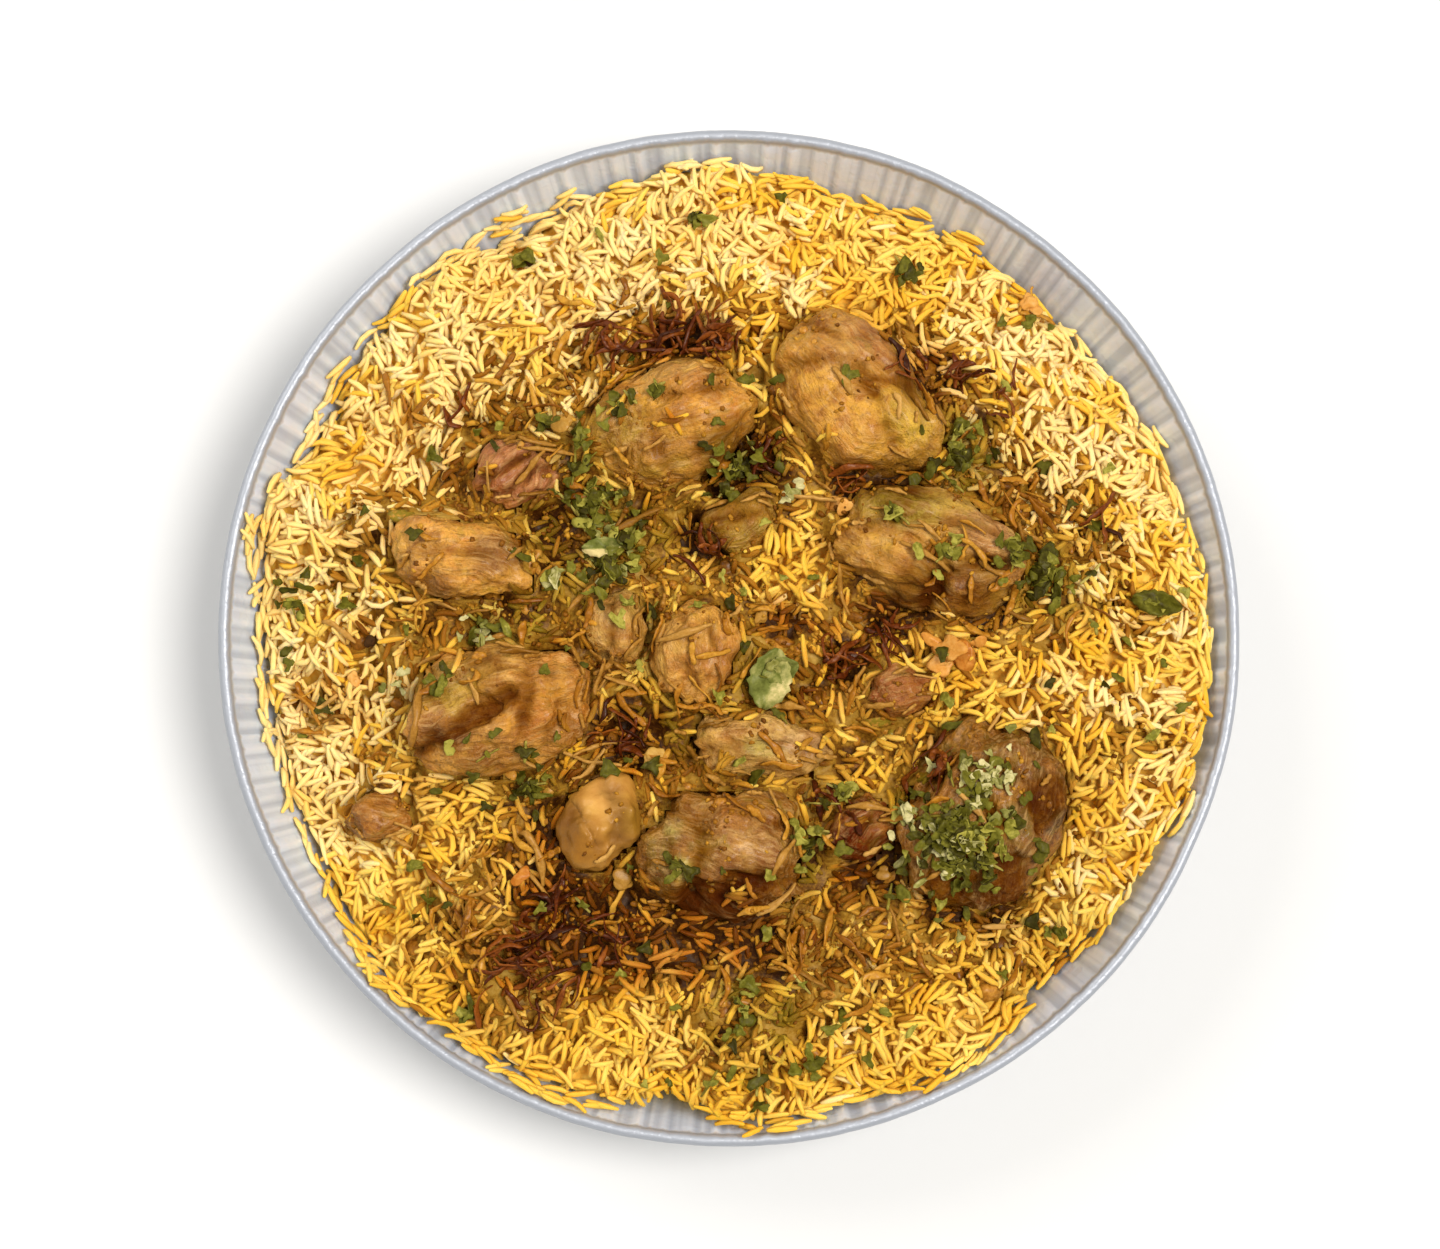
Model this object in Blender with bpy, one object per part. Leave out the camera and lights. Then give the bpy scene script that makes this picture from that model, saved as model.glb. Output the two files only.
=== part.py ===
"""Chicken biryani heaped in a round foil tray.

Metres, +Z up.  The origin is on the table under the middle of the tray's base.
+X runs to the right of the tray and +Y to its back, as it stands in front of the eater.
"""

import math
from collections import namedtuple

import bmesh
import bpy
from mathutils import Vector, noise

# Tray: one sheet of foil, pressed into a flat base, a fluted wall and a rolled rim.
RIM_RADIUS = 0.150  # outside of the rolled bead
TRAY_HEIGHT = 0.045  # top of the bead
BEAD_RADIUS = 0.0017
BASE_RADIUS = 0.124
FOIL = 0.0008
FOIL_ACROSS = 0.0011  # the sloping wall's thickness measured level
FLUTES = 120
FLUTE_DEPTH = 0.0014  # crest to valley under the bead; the flutes die out at the base
BEAD_TURNS = (-60, 0, 90)  # degrees round the bead, from under it to over it

CLEARANCE = 0.0003  # between pieces that rest on each other

# Rice: a heap that stands over the rim in the middle and dips below it at the wall.
EDGE_RADIUS = 0.1402  # where the rice meets the wall, on average
EDGE_SHIFT = (0.0008, -0.0012)  # the heap sits a little off the tray's middle
HIGHEST_EDGE_RADIUS = 0.1452
CROWN = 0.025  # rise from the wall to the middle
SHOULDER = 3.6  # a higher power makes a flatter top with steeper sides
RIPPLE = 0.0036
RIPPLE_SPAN = 0.030
RIPPLE_FADE = 6  # a higher power keeps the ripple closer up to the wall
HEAP_SECTORS = 60
HEAP_RINGS = 10
RING_CROWDING = 0.85  # under 1 crowds the rings towards the wall, where the heap is steep

# Degrees round the tray, how far the rice's edge moves out, and over how many degrees.
EDGE_BULGES = (
    (4, 0.0015, 9),
    (45, -0.0030, 16),
    (72, -0.0020, 8),
    (93, 0.0036, 9),
    (119, -0.0025, 6),
    (130, 0.0042, 6),
    (153, -0.0030, 6),
    (164, 0.0050, 6),
    (200, -0.0028, 18),
    (231, 0.0046, 7),
    (248, 0.0022, 7),
    (272, 0.0034, 7),
    (296, 0.0024, 9),
    (314, -0.0052, 7),
    (347, 0.0032, 9),
)

Lobe = namedtuple("Lobe", "azimuth elevation spread height")
Piece = namedtuple("Piece", "name food place half heading lean lift lobes")

# Each piece: its food, its middle on the plan, its half sizes along, across and up, the way
# its length points, how its length leans, how far its middle is over the rice, and the
# swellings (+) and hollows (-) of its surface.
PIECES = (
    Piece(
        "chicken_thigh_back", "chicken", (0.0368, 0.0698), (0.0300, 0.0172, 0.0165),
        heading=-50, lean=4, lift=0.002,
        lobes=(Lobe(-62, 12, 38, 0.0068), Lobe(95, 20, 40, -0.0030), Lobe(20, 40, 30, 0.0025)),
    ),
    Piece(
        "chicken_breast_back", "chicken", (-0.0156, 0.0606), (0.0240, 0.0186, 0.0140),
        heading=20, lean=-3, lift=0.002,
        lobes=(
            Lobe(180, 5, 34, 0.0022),
            Lobe(130, 50, 30, -0.0034),
            Lobe(10, 35, 40, 0.0030),
            Lobe(300, 20, 30, 0.0018),
        ),
    ),
    Piece(
        "chicken_shred_left", "chicken", (-0.0620, 0.0458), (0.0122, 0.0086, 0.0085),
        heading=-20, lean=0, lift=0.003,
        lobes=(Lobe(60, 20, 40, 0.0015), Lobe(200, 10, 40, -0.0014)),
    ),
    Piece(
        "chicken_strip_left", "chicken", (-0.0788, 0.0200), (0.0195, 0.0115, 0.0105),
        heading=-14, lean=3, lift=0.002,
        lobes=(Lobe(20, 30, 40, 0.0030), Lobe(150, 30, 35, -0.0022)),
    ),
    Piece(
        "chicken_leg_left", "chicken", (-0.0670, -0.0232), (0.0280, 0.0194, 0.0155),
        heading=8, lean=-5, lift=0.002,
        lobes=(
            Lobe(0, 25, 42, 0.0040),
            Lobe(160, 60, 26, -0.0050),
            Lobe(205, 15, 30, 0.0030),
            Lobe(255, 30, 26, -0.0030),
        ),
    ),
    Piece(
        "chicken_shred_middle", "chicken", (-0.0328, 0.0002), (0.0124, 0.0080, 0.0095),
        heading=100, lean=0, lift=0.002,
        lobes=(Lobe(30, 30, 40, 0.0014), Lobe(190, 20, 36, -0.0012)),
    ),
    Piece(
        "chicken_bit_back", "chicken", (0.0030, 0.0300), (0.0112, 0.0080, 0.0085),
        heading=24, lean=0, lift=0.002,
        lobes=(Lobe(0, 30, 40, 0.0012),),
    ),
    Piece(
        "chicken_lump_middle", "chicken", (-0.0092, -0.0072), (0.0160, 0.0118, 0.0125),
        heading=78, lean=-6, lift=0.003,
        lobes=(Lobe(0, 10, 35, 0.0020), Lobe(180, 20, 35, -0.0012), Lobe(90, 20, 30, 0.0014)),
    ),
    Piece(
        "chicken_slice_middle", "chicken", (0.0070, -0.0345), (0.0230, 0.0088, 0.0100),
        heading=-5, lean=0, lift=0.001,
        lobes=(Lobe(0, 20, 40, 0.0016), Lobe(180, 20, 40, -0.0012)),
    ),
    Piece(
        "potato_piece", "potato", (-0.0372, -0.0566), (0.0160, 0.0100, 0.0110),
        heading=60, lean=5, lift=0.004,
        lobes=(Lobe(0, 30, 50, 0.0008),),
    ),
    Piece(
        "chicken_thigh_front", "chicken", (-0.0010, -0.0662), (0.0240, 0.0192, 0.0155),
        heading=-14, lean=0, lift=0.002,
        lobes=(
            Lobe(75, 40, 34, 0.0030),
            Lobe(180, 20, 34, 0.0022),
            Lobe(285, 30, 28, -0.0046),
            Lobe(150, 55, 22, -0.0026),
        ),
    ),
    Piece(
        "chicken_round_right", "chicken", (0.0736, -0.0540), (0.0258, 0.0232, 0.0175),
        heading=70, lean=0, lift=0.002,
        lobes=(Lobe(30, 35, 40, 0.0020), Lobe(200, 20, 34, -0.0020), Lobe(120, 20, 30, 0.0018)),
    ),
    Piece(
        "chicken_shred_right", "chicken", (0.0372, -0.0590), (0.0098, 0.0084, 0.0090),
        heading=40, lean=0, lift=0.002,
        lobes=(Lobe(10, 30, 40, 0.0014), Lobe(170, 30, 40, -0.0010)),
    ),
    Piece(
        "chicken_leg_right", "chicken", (0.0570, 0.0232), (0.0300, 0.0165, 0.0150),
        heading=-16, lean=3, lift=0.002,
        lobes=(
            Lobe(350, 20, 36, 0.0034),
            Lobe(60, 50, 26, -0.0030),
            Lobe(170, 20, 34, -0.0012),
            Lobe(110, 20, 30, 0.0022),
        ),
    ),
    Piece(
        "chicken_bit_middle", "chicken", (0.0492, -0.0186), (0.0090, 0.0080, 0.0085),
        heading=15, lean=0, lift=0.003,
        lobes=(Lobe(0, 30, 40, 0.0012),),
    ),
    Piece(
        "chicken_bit_left", "chicken", (-0.1010, -0.0540), (0.0105, 0.0074, 0.0075),
        heading=12, lean=0, lift=0.003,
        lobes=(Lobe(180, 30, 40, 0.0012),),
    ),
)

LARGE_PIECE = 0.017  # a half length that needs the finer net
FINE_NET = (14, 8)  # meridians and rows
COARSE_NET = (10, 7)
BOXINESS = 2.5  # 2 is an egg, and a higher power squares the piece up
MEAT_RIPPLE = 0.0011
MEAT_RIPPLE_SPAN = 0.011
SHARPEST_SMOOTH_EDGE = 35  # degrees; a sharper edge is shaded as a crease

FINISHES = {
    # name: sRGB colour, roughness, metallic
    "foil": ("#C9C7C4", 0.28, 1.0),
    "rice": ("#E9BC52", 0.55, 0.0),
    "chicken": ("#B97F38", 0.42, 0.0),
    "potato": ("#C9A04A", 0.38, 0.0),
}


def linear_colour(hex_colour):
    """A hex sRGB colour as the linear values that shaders take."""
    values = [int(hex_colour[i : i + 2], 16) / 255 for i in (1, 3, 5)]
    return [v / 12.92 if v <= 0.04045 else ((v + 0.055) / 1.055) ** 2.4 for v in values] + [1.0]


def finish(name):
    """The Principled material of one finish, made once."""
    if name in bpy.data.materials:
        return bpy.data.materials[name]
    colour, roughness, metallic = FINISHES[name]
    material = bpy.data.materials.new(name)
    material.use_nodes = True
    shader = material.node_tree.nodes["Principled BSDF"]
    shader.inputs["Base Color"].default_value = linear_colour(colour)
    shader.inputs["Roughness"].default_value = roughness
    shader.inputs["Metallic"].default_value = metallic
    return material


def add_object(name, mesh, material):
    """An object of this mesh in the scene."""
    piece = bpy.data.objects.new(name, mesh)
    mesh.materials.append(material)
    bpy.context.scene.collection.objects.link(piece)
    return piece


def turned_mesh(name, rings, bottom, top):
    """A closed mesh of rings with equal counts of points, shut by a fan at each end."""
    work = bmesh.new()
    loops = [[work.verts.new(point) for point in ring] for ring in rings]
    count = len(loops[0])
    first, last = work.verts.new(bottom), work.verts.new(top)
    for i in range(count):
        j = (i + 1) % count
        work.faces.new((first, loops[0][j], loops[0][i]))
        work.faces.new((last, loops[-1][i], loops[-1][j]))
        for low, high in zip(loops, loops[1:]):
            work.faces.new((low[i], low[j], high[j]))
            work.faces.new((low[i], high[j], high[i]))
    bmesh.ops.recalc_face_normals(work, faces=work.faces)
    mesh = bpy.data.meshes.new(name)
    work.to_mesh(mesh)
    work.free()
    mesh.shade_smooth()
    mesh.set_sharp_from_angle(angle=math.radians(SHARPEST_SMOOTH_EDGE))
    return mesh


def wall_radius(height):
    """Middle radius of the wall's inner side at a height, halfway between crest and valley."""
    share = (height - FOIL) / (TRAY_HEIGHT - BEAD_RADIUS - FOIL)
    return BASE_RADIUS + share * (RIM_RADIUS - 2 * BEAD_RADIUS - BASE_RADIUS)


def flute_reach(height):
    """How far the flutes stand in or out from the wall's middle radius at a height."""
    return FLUTE_DEPTH / 2 * max(0.0, height) / (TRAY_HEIGHT - BEAD_RADIUS)


def tray_ring(radius, height, reach=0.0):
    """Points round the tray, two to a flute, going in and out by reach."""
    ring = []
    for i in range(2 * FLUTES):
        angle = math.pi * i / FLUTES
        out = radius + (reach if i % 2 else -reach)
        ring.append((out * math.cos(angle), out * math.sin(angle), height))
    return ring


def foil_tray():
    bead_middle = TRAY_HEIGHT - BEAD_RADIUS
    outer_top = TRAY_HEIGHT - 2 * BEAD_RADIUS
    rings = [
        tray_ring(BASE_RADIUS + FOIL / 2, 0.0),
        tray_ring(wall_radius(outer_top) + FOIL_ACROSS, outer_top, flute_reach(outer_top)),
    ]
    for turn in BEAD_TURNS:
        angle = math.radians(turn)
        rings.append(
            tray_ring(
                RIM_RADIUS - BEAD_RADIUS + BEAD_RADIUS * math.cos(angle),
                bead_middle + BEAD_RADIUS * math.sin(angle),
            )
        )
    rings.append(tray_ring(wall_radius(bead_middle), bead_middle, flute_reach(bead_middle)))
    rings.append(tray_ring(BASE_RADIUS, FOIL))
    mesh = turned_mesh("foil_tray", rings, (0, 0, 0), (0, 0, FOIL))
    return add_object("foil_tray", mesh, finish("foil"))


def rice_side_radius(height):
    """Radius of the rice where it leans on the wall at a height."""
    return wall_radius(height) - flute_reach(height) - CLEARANCE


def rice_side_height(radius):
    """Height at which the rice, leaning on the wall, has this radius."""
    low, high = FOIL, TRAY_HEIGHT - BEAD_RADIUS
    share = (radius - rice_side_radius(low)) / (rice_side_radius(high) - rice_side_radius(low))
    return low + share * (high - low)


def bell(distance, spread):
    """A smooth hump that is 1 in the middle."""
    return math.exp(-((distance / spread) ** 2))


def edge_radius(azimuth):
    """Radius of the rice's uneven edge, at an angle in radians."""
    degrees = math.degrees(azimuth) % 360
    radius = EDGE_RADIUS + EDGE_SHIFT[0] * math.cos(azimuth) + EDGE_SHIFT[1] * math.sin(azimuth)
    for middle, out, spread in EDGE_BULGES:
        away = (degrees - middle + 180) % 360 - 180
        radius += out * bell(away, spread)
    return min(radius, HIGHEST_EDGE_RADIUS)


def rice_height(x, y):
    """Height of the heap's surface at a place on the plan."""
    edge = edge_radius(math.atan2(y, x))
    share = min(1.0, math.hypot(x, y) / edge)
    at_wall = rice_side_height(edge)
    everywhere = rice_side_height(EDGE_RADIUS)
    foot = everywhere + (at_wall - everywhere) * share**2
    ripple = RIPPLE * noise.noise(Vector((x, y, 0.0)) / RIPPLE_SPAN)
    return foot + CROWN * (1 - share**SHOULDER) + ripple * (1 - share**RIPPLE_FADE)


def heap_mesh():
    turns = [math.tau * i / HEAP_SECTORS for i in range(HEAP_SECTORS)]
    floor = FOIL + CLEARANCE
    foot = rice_side_radius(floor)
    rings = [[(foot * math.cos(a), foot * math.sin(a), floor) for a in turns]]
    for step in range(HEAP_RINGS, 0, -1):
        share = (step / HEAP_RINGS) ** RING_CROWDING
        ring = []
        for a in turns:
            x = share * edge_radius(a) * math.cos(a)
            y = share * edge_radius(a) * math.sin(a)
            ring.append((x, y, rice_height(x, y)))
        rings.append(ring)
    return turned_mesh("rice_heap", rings, (0, 0, floor), (0, 0, rice_height(0, 0)))


def piece_point(piece, azimuth, elevation, grown):
    """The surface of a piece in one direction from its middle, in its own axes."""
    way = Vector(
        (
            math.cos(elevation) * math.cos(azimuth),
            math.cos(elevation) * math.sin(azimuth),
            math.sin(elevation),
        )
    )
    fullness = sum(abs(w / h) ** BOXINESS for w, h in zip(way, piece.half)) ** (-1 / BOXINESS)
    out = 0.0
    for lobe in piece.lobes:
        up, round_ = math.radians(lobe.elevation), math.radians(lobe.azimuth)
        middle = Vector(
            (math.cos(up) * math.cos(round_), math.cos(up) * math.sin(round_), math.sin(up))
        )
        out += lobe.height * bell(math.degrees(way.angle(middle)), lobe.spread)
    place = way * fullness
    shift = Vector((piece.place[0], piece.place[1], 0.0))
    out += MEAT_RIPPLE * noise.noise((place + shift) / MEAT_RIPPLE_SPAN)
    return way * (fullness + out + grown)


def piece_mesh(piece, grown=0.0):
    """The piece's closed mesh, grown outwards on every side where it serves as a cutter."""
    meridians, rows = FINE_NET if piece.half[0] > LARGE_PIECE else COARSE_NET
    rings = []
    for row in range(1, rows):
        elevation = math.pi * (row / rows - 0.5)
        rings.append(
            [
                piece_point(piece, math.tau * i / meridians, elevation, grown)
                for i in range(meridians)
            ]
        )
    bottom = piece_point(piece, 0.0, -math.pi / 2, grown)
    top = piece_point(piece, 0.0, math.pi / 2, grown)
    return turned_mesh(piece.name, rings, bottom, top)


def place_piece(thing, piece):
    """Puts a piece, or its cutter, on the rice."""
    x, y = piece.place
    thing.location = (x, y, rice_height(x, y) + piece.lift)
    thing.rotation_euler = (0.0, math.radians(piece.lean), math.radians(piece.heading))


def rice_heap(pieces):
    """The heap, with a bed pressed into it by each piece that lies on it."""
    heap = add_object("rice_heap", heap_mesh(), finish("rice"))
    for piece in pieces:
        bed = add_object(f"bed_of_{piece.name}", piece_mesh(piece, CLEARANCE), finish("rice"))
        place_piece(bed, piece)
        bed.hide_render = True
        bed.display_type = "WIRE"
        cut = heap.modifiers.new(f"bed of {piece.name}", "BOOLEAN")
        cut.operation = "DIFFERENCE"
        cut.object = bed
    return heap


def main():
    for thing in list(bpy.data.objects):
        bpy.data.objects.remove(thing, do_unlink=True)
    foil_tray()
    rice_heap(PIECES)
    for piece in PIECES:
        place_piece(add_object(piece.name, piece_mesh(piece), finish(piece.food)), piece)


main()
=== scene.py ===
"""Chicken biryani heaped in a round foil tray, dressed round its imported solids.

Metres, +Z up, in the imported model's own frame: the origin is on the table under the middle of
the tray, +X is to the right and +Y to the back.
"""

import math
from collections import namedtuple
from functools import partial

import bmesh
import bpy
import numpy as np
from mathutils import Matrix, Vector, noise
from mathutils.bvhtree import BVHTree


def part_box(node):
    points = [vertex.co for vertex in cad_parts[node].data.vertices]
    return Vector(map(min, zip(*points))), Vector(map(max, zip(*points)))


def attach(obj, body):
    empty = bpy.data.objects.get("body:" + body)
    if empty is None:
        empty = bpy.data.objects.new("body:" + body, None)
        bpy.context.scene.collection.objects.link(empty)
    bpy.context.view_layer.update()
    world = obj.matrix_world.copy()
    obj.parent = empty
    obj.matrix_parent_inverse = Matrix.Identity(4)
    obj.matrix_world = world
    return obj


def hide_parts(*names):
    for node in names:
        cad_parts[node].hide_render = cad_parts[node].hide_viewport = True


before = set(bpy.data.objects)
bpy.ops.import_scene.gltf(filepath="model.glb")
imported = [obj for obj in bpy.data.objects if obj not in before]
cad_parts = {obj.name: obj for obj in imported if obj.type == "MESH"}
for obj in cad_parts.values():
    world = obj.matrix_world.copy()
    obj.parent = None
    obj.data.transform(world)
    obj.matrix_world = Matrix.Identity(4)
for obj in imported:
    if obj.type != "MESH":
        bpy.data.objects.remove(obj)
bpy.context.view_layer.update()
tray_low, tray_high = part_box("foil_tray")
heap_low, heap_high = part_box("rice_heap")

RIM = (tray_high.x - tray_low.x) / 2  # outside radius of the rolled rim
TRAY_HEIGHT = tray_high.z
FULL_TURN = math.tau


# ---------------------------------------------------------------- colours, nodes and meshes


def linear(hex_colour):
    """A hex sRGB colour as the linear values that shaders take."""
    values = [int(hex_colour[i : i + 2], 16) / 255 for i in (1, 3, 5)]
    return [v / 12.92 if v <= 0.04045 else ((v + 0.055) / 1.055) ** 2.4 for v in values] + [1.0]


OILY = "#FFE6BC"  # ghee and turmeric on everything: what gleams does so in amber
POINTED = 0.75  # how far a rod's point stands out, in shares of its half width


def per_metre(millimetres):
    """The scale of a pattern whose features are this far apart."""
    return 1000 / millimetres


def add_node(tree, kind, inputs=None, stops=(), out=0, **settings):
    """Adds one node, sets it, links what feeds it, fills its colour ramp and gives its output."""
    made = tree.nodes.new(f"ShaderNode{kind}")
    for key, value in settings.items():
        setattr(made, key, value)
    for key, value in (inputs or {}).items():
        if isinstance(value, bpy.types.NodeSocket):
            tree.links.new(value, made.inputs[key])
        else:
            made.inputs[key].default_value = linear(value) if isinstance(value, str) else value
    for place, (position, colour) in enumerate(stops):
        ramp = made.color_ramp.elements
        stop = ramp[place] if place < 2 else ramp.new(position)
        stop.position, stop.color = position, linear(colour)
    return made.outputs[out] if made.outputs else None


def evenly(*colours):
    """Stops of a colour ramp at equal steps."""
    return [(step / (len(colours) - 1), colour) for step, colour in enumerate(colours)]


MIXED = {"out": 2, "data_type": "RGBA"}  # what every mix of two colours is set to


def new_material(name):
    """An empty node material, and what adds a node to it."""
    material = bpy.data.materials.new(name)
    material.use_nodes = True
    material.node_tree.nodes.clear()
    return material, partial(add_node, material.node_tree)


def add_mesh(name, vertices, faces, material, slot=None, stands_for=(), **attributes):
    """One piece of the food or tray from arrays, riding on the frame.

    faces is a list of index arrays, each of faces with the same number of corners.
    """
    mesh = bpy.data.meshes.new(name)
    mesh.vertices.add(len(vertices))
    mesh.vertices.foreach_set("co", np.asarray(vertices, np.float32).ravel())
    corners = np.concatenate([np.asarray(block, np.int32).ravel() for block in faces])
    sizes = np.concatenate([np.full(len(block), block.shape[1], np.int32) for block in faces])
    mesh.loops.add(len(corners))
    mesh.loops.foreach_set("vertex_index", corners)
    mesh.polygons.add(len(sizes))
    mesh.polygons.foreach_set("loop_start", np.concatenate([[0], np.cumsum(sizes)[:-1]]))
    mesh.update(calc_edges=True)
    mesh.shade_smooth()
    return add_piece(name, mesh, material, slot, stands_for, **attributes)


def add_piece(name, mesh, material, slot=None, stands_for=(), **attributes):
    """The object of a mesh, with its attributes, material, ride and what it replaces."""
    for key, values in attributes.items():
        values = np.asarray(values, np.float32)
        kind = "FLOAT" if values.ndim == 1 else "FLOAT_COLOR" if values.shape[1] == 4 else "FLOAT_VECTOR"
        field = {"FLOAT": "value", "FLOAT_COLOR": "color", "FLOAT_VECTOR": "vector"}[kind]
        mesh.attributes.new(key, kind, "POINT").data.foreach_set(field, values.ravel())
    piece = bpy.data.objects.new(name, mesh)
    mesh.materials.append(material)
    bpy.context.scene.collection.objects.link(piece)
    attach(piece, "root")
    if stands_for:
        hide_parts(*stands_for)
    return piece


def turned_faces(rows, sectors):
    """Faces of a closed shape of equal rings, whose last two points close its ends."""
    k = np.arange(sectors)
    after = (k + 1) % sectors
    quads = [np.stack([k, after, sectors + after, sectors + k], 1) + r * sectors for r in range(rows - 1)]
    end, first = (rows - 1) * sectors, rows * sectors
    caps = [
        np.stack([np.full(sectors, first), after, k], 1),
        np.stack([np.full(sectors, first + 1), end + k, end + after], 1),
    ]
    return [np.concatenate(quads), np.concatenate(caps)]


def repeated(faces, count, each):
    """The faces of many equal things, each with its own run of vertices."""
    start = (np.arange(count) * each)[:, None, None]
    return [(block + start).reshape(-1, block.shape[1]) for block in faces]


def rods(paths, half_widths, half_depths, ups, sides):
    """Many rods with pointed ends: vertices, faces and how many points each has.

    paths and ups are (rods, stations, 3), half_widths and half_depths are (rods, stations).
    """
    count, stations, _ = paths.shape
    ways = np.gradient(paths, axis=1)
    ways /= np.linalg.norm(ways, axis=2, keepdims=True) + 1e-12
    across = np.cross(ups, ways)
    across /= np.linalg.norm(across, axis=2, keepdims=True) + 1e-12
    above = np.cross(ways, across)
    turn = np.arange(sides) * FULL_TURN / sides
    ring = (
        paths[:, :, None]
        + (half_widths[:, :, None] * np.cos(turn))[..., None] * across[:, :, None]
        + (half_depths[:, :, None] * np.sin(turn))[..., None] * above[:, :, None]
    )
    first = paths[:, 0] - ways[:, 0] * half_widths[:, :1] * POINTED
    last = paths[:, -1] + ways[:, -1] * half_widths[:, -1:] * POINTED
    vertices = np.concatenate([ring.reshape(count, -1, 3), first[:, None], last[:, None]], axis=1)
    each = stations * sides + 2
    return vertices.reshape(-1, 3), repeated(turned_faces(stations, sides), count, each), each


def noise_at(points, span, seed=0.0):
    """Smooth noise from -1 to 1 at each point, with features this many metres apart."""
    shift = Vector((seed * 17.3, seed * 5.1, seed * 9.7))
    return np.array([noise.noise(Vector(p) / span + shift) for p in np.asarray(points, float)])


def bell(away):
    """A smooth hump: 1 in the middle, about a third at 1 and nothing past 2."""
    return np.exp(-np.square(away))


def noise_over(x, y, span, seed):
    """Smooth noise over the plan."""
    return noise_at(np.stack([x, y, np.zeros_like(x)], -1).reshape(-1, 3), span, seed).reshape(x.shape)


def patch_at(x, y, level, span):
    """Smooth noise at one place of the plan, on a level of its own."""
    return noise.noise(Vector((x, y, level)) / span)


def turned(u, v, angle):
    """Points of a plane turned about its origin."""
    return u * np.cos(angle) - v * np.sin(angle), u * np.sin(angle) + v * np.cos(angle)


# ---------------------------------------------------------------- where things lie on the tray

# Each row is a soft round patch: its place and reach in shares of the rim's radius, and its strength.

# Rice that the masala has run into, between the pieces and round them.
SAUCED = (
    (-0.1, 0.27, 0.33, 0.9), (0.25, 0.34, 0.25, 0.75), (-0.36, 0.24, 0.22, 0.8), (0.44, 0.17, 0.27, 0.85),
    (-0.45, 0.0, 0.25, 0.8), (-0.08, -0.08, 0.42, 0.97), (-0.26, -0.36, 0.28, 0.85), (0.08, -0.4, 0.3, 0.9),
    (0.42, -0.32, 0.25, 0.8), (-0.4, -0.66, 0.13, 0.8), (0.04, -0.74, 0.14, 0.55), (-0.66, -0.3, 0.08, 0.5),
    (0.26, -0.58, 0.17, 0.5), (0.68, 0.08, 0.1, 0.25), (-0.8, -0.14, 0.06, 0.35), (-0.12, 0.54, 0.11, 0.5),
    (0.36, 0.49, 0.11, 0.5), (-0.46, 0.4, 0.08, 0.25), (-0.67, 0.2, 0.08, 0.6), (-0.75, 0.12, 0.05, 0.45),
    (-0.53, -0.58, 0.08, 0.6), (0.8, 0.02, 0.06, 0.4), (0.28, -0.18, 0.06, 0.7), (-0.54, 0.25, 0.07, 0.6),
    (0.49, 0.05, 0.08, 0.85), (0.79, -0.2, 0.08, 0.4), (0.54, -0.64, 0.1, 0.35),
)
# Rice that the masala left alone, though it is all round it.
CLEAN = (
    (0.12, 0.12, 0.085, 0.95), (0.45, -0.11, 0.1, 0.75), (0.28, -0.28, 0.06, 0.5), (0.61, 0.34, 0.08, 0.5),
    (-0.13, -0.07, 0.07, 0.8), (-0.23, 0.44, 0.05, 0.4), (0.08, 0.51, 0.08, 0.6), (-0.65, 0.1, 0.05, 0.5),
    (0.6, -0.12, 0.09, 0.5), (-0.03, -0.18, 0.05, 0.6), (-0.55, -0.36, 0.1, 0.6),
)
# Rice that took little colour, as it came off the top of the pot.
PALE = (
    (-0.55, 0.62, 0.32, 0.95), (-0.8, 0.25, 0.28, 0.85), (-0.1, 0.85, 0.34, 0.6), (0.64, 0.45, 0.3, 0.85),
    (-0.84, -0.25, 0.25, 0.8), (0.8, -0.02, 0.2, 0.4), (-0.3, 0.66, 0.22, 0.7), (0.72, -0.32, 0.26, 0.4),
)
# Rice that caught on the onions: deep golden brown.
CAUGHT = (
    (-0.42, -0.63, 0.13, 0.45), (-0.32, -0.5, 0.1, 0.5), (-0.62, -0.34, 0.07, 0.4), (0.27, 0.55, 0.08, 0.65),
    (-0.66, 0.2, 0.05, 0.3), (-0.1, 0.57, 0.08, 0.45), (0.12, -0.56, 0.12, 0.4), (-0.8, -0.13, 0.06, 0.3),
)
# Masala that the chopped herbs have coloured: olive.
HERBED = (
    (-0.25, 0.2, 0.17, 0.5), (0.02, 0.3, 0.09, 0.6), (0.46, 0.35, 0.09, 0.6), (0.6, 0.09, 0.09, 0.4),
    (0.44, -0.38, 0.15, 0.7), (-0.42, 0.0, 0.08, 0.5), (-0.39, -0.3, 0.07, 0.5), (0.12, -0.44, 0.08, 0.5),
    (-0.05, -0.12, 0.14, 0.45), (0.05, -0.76, 0.1, 0.5),
)
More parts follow.
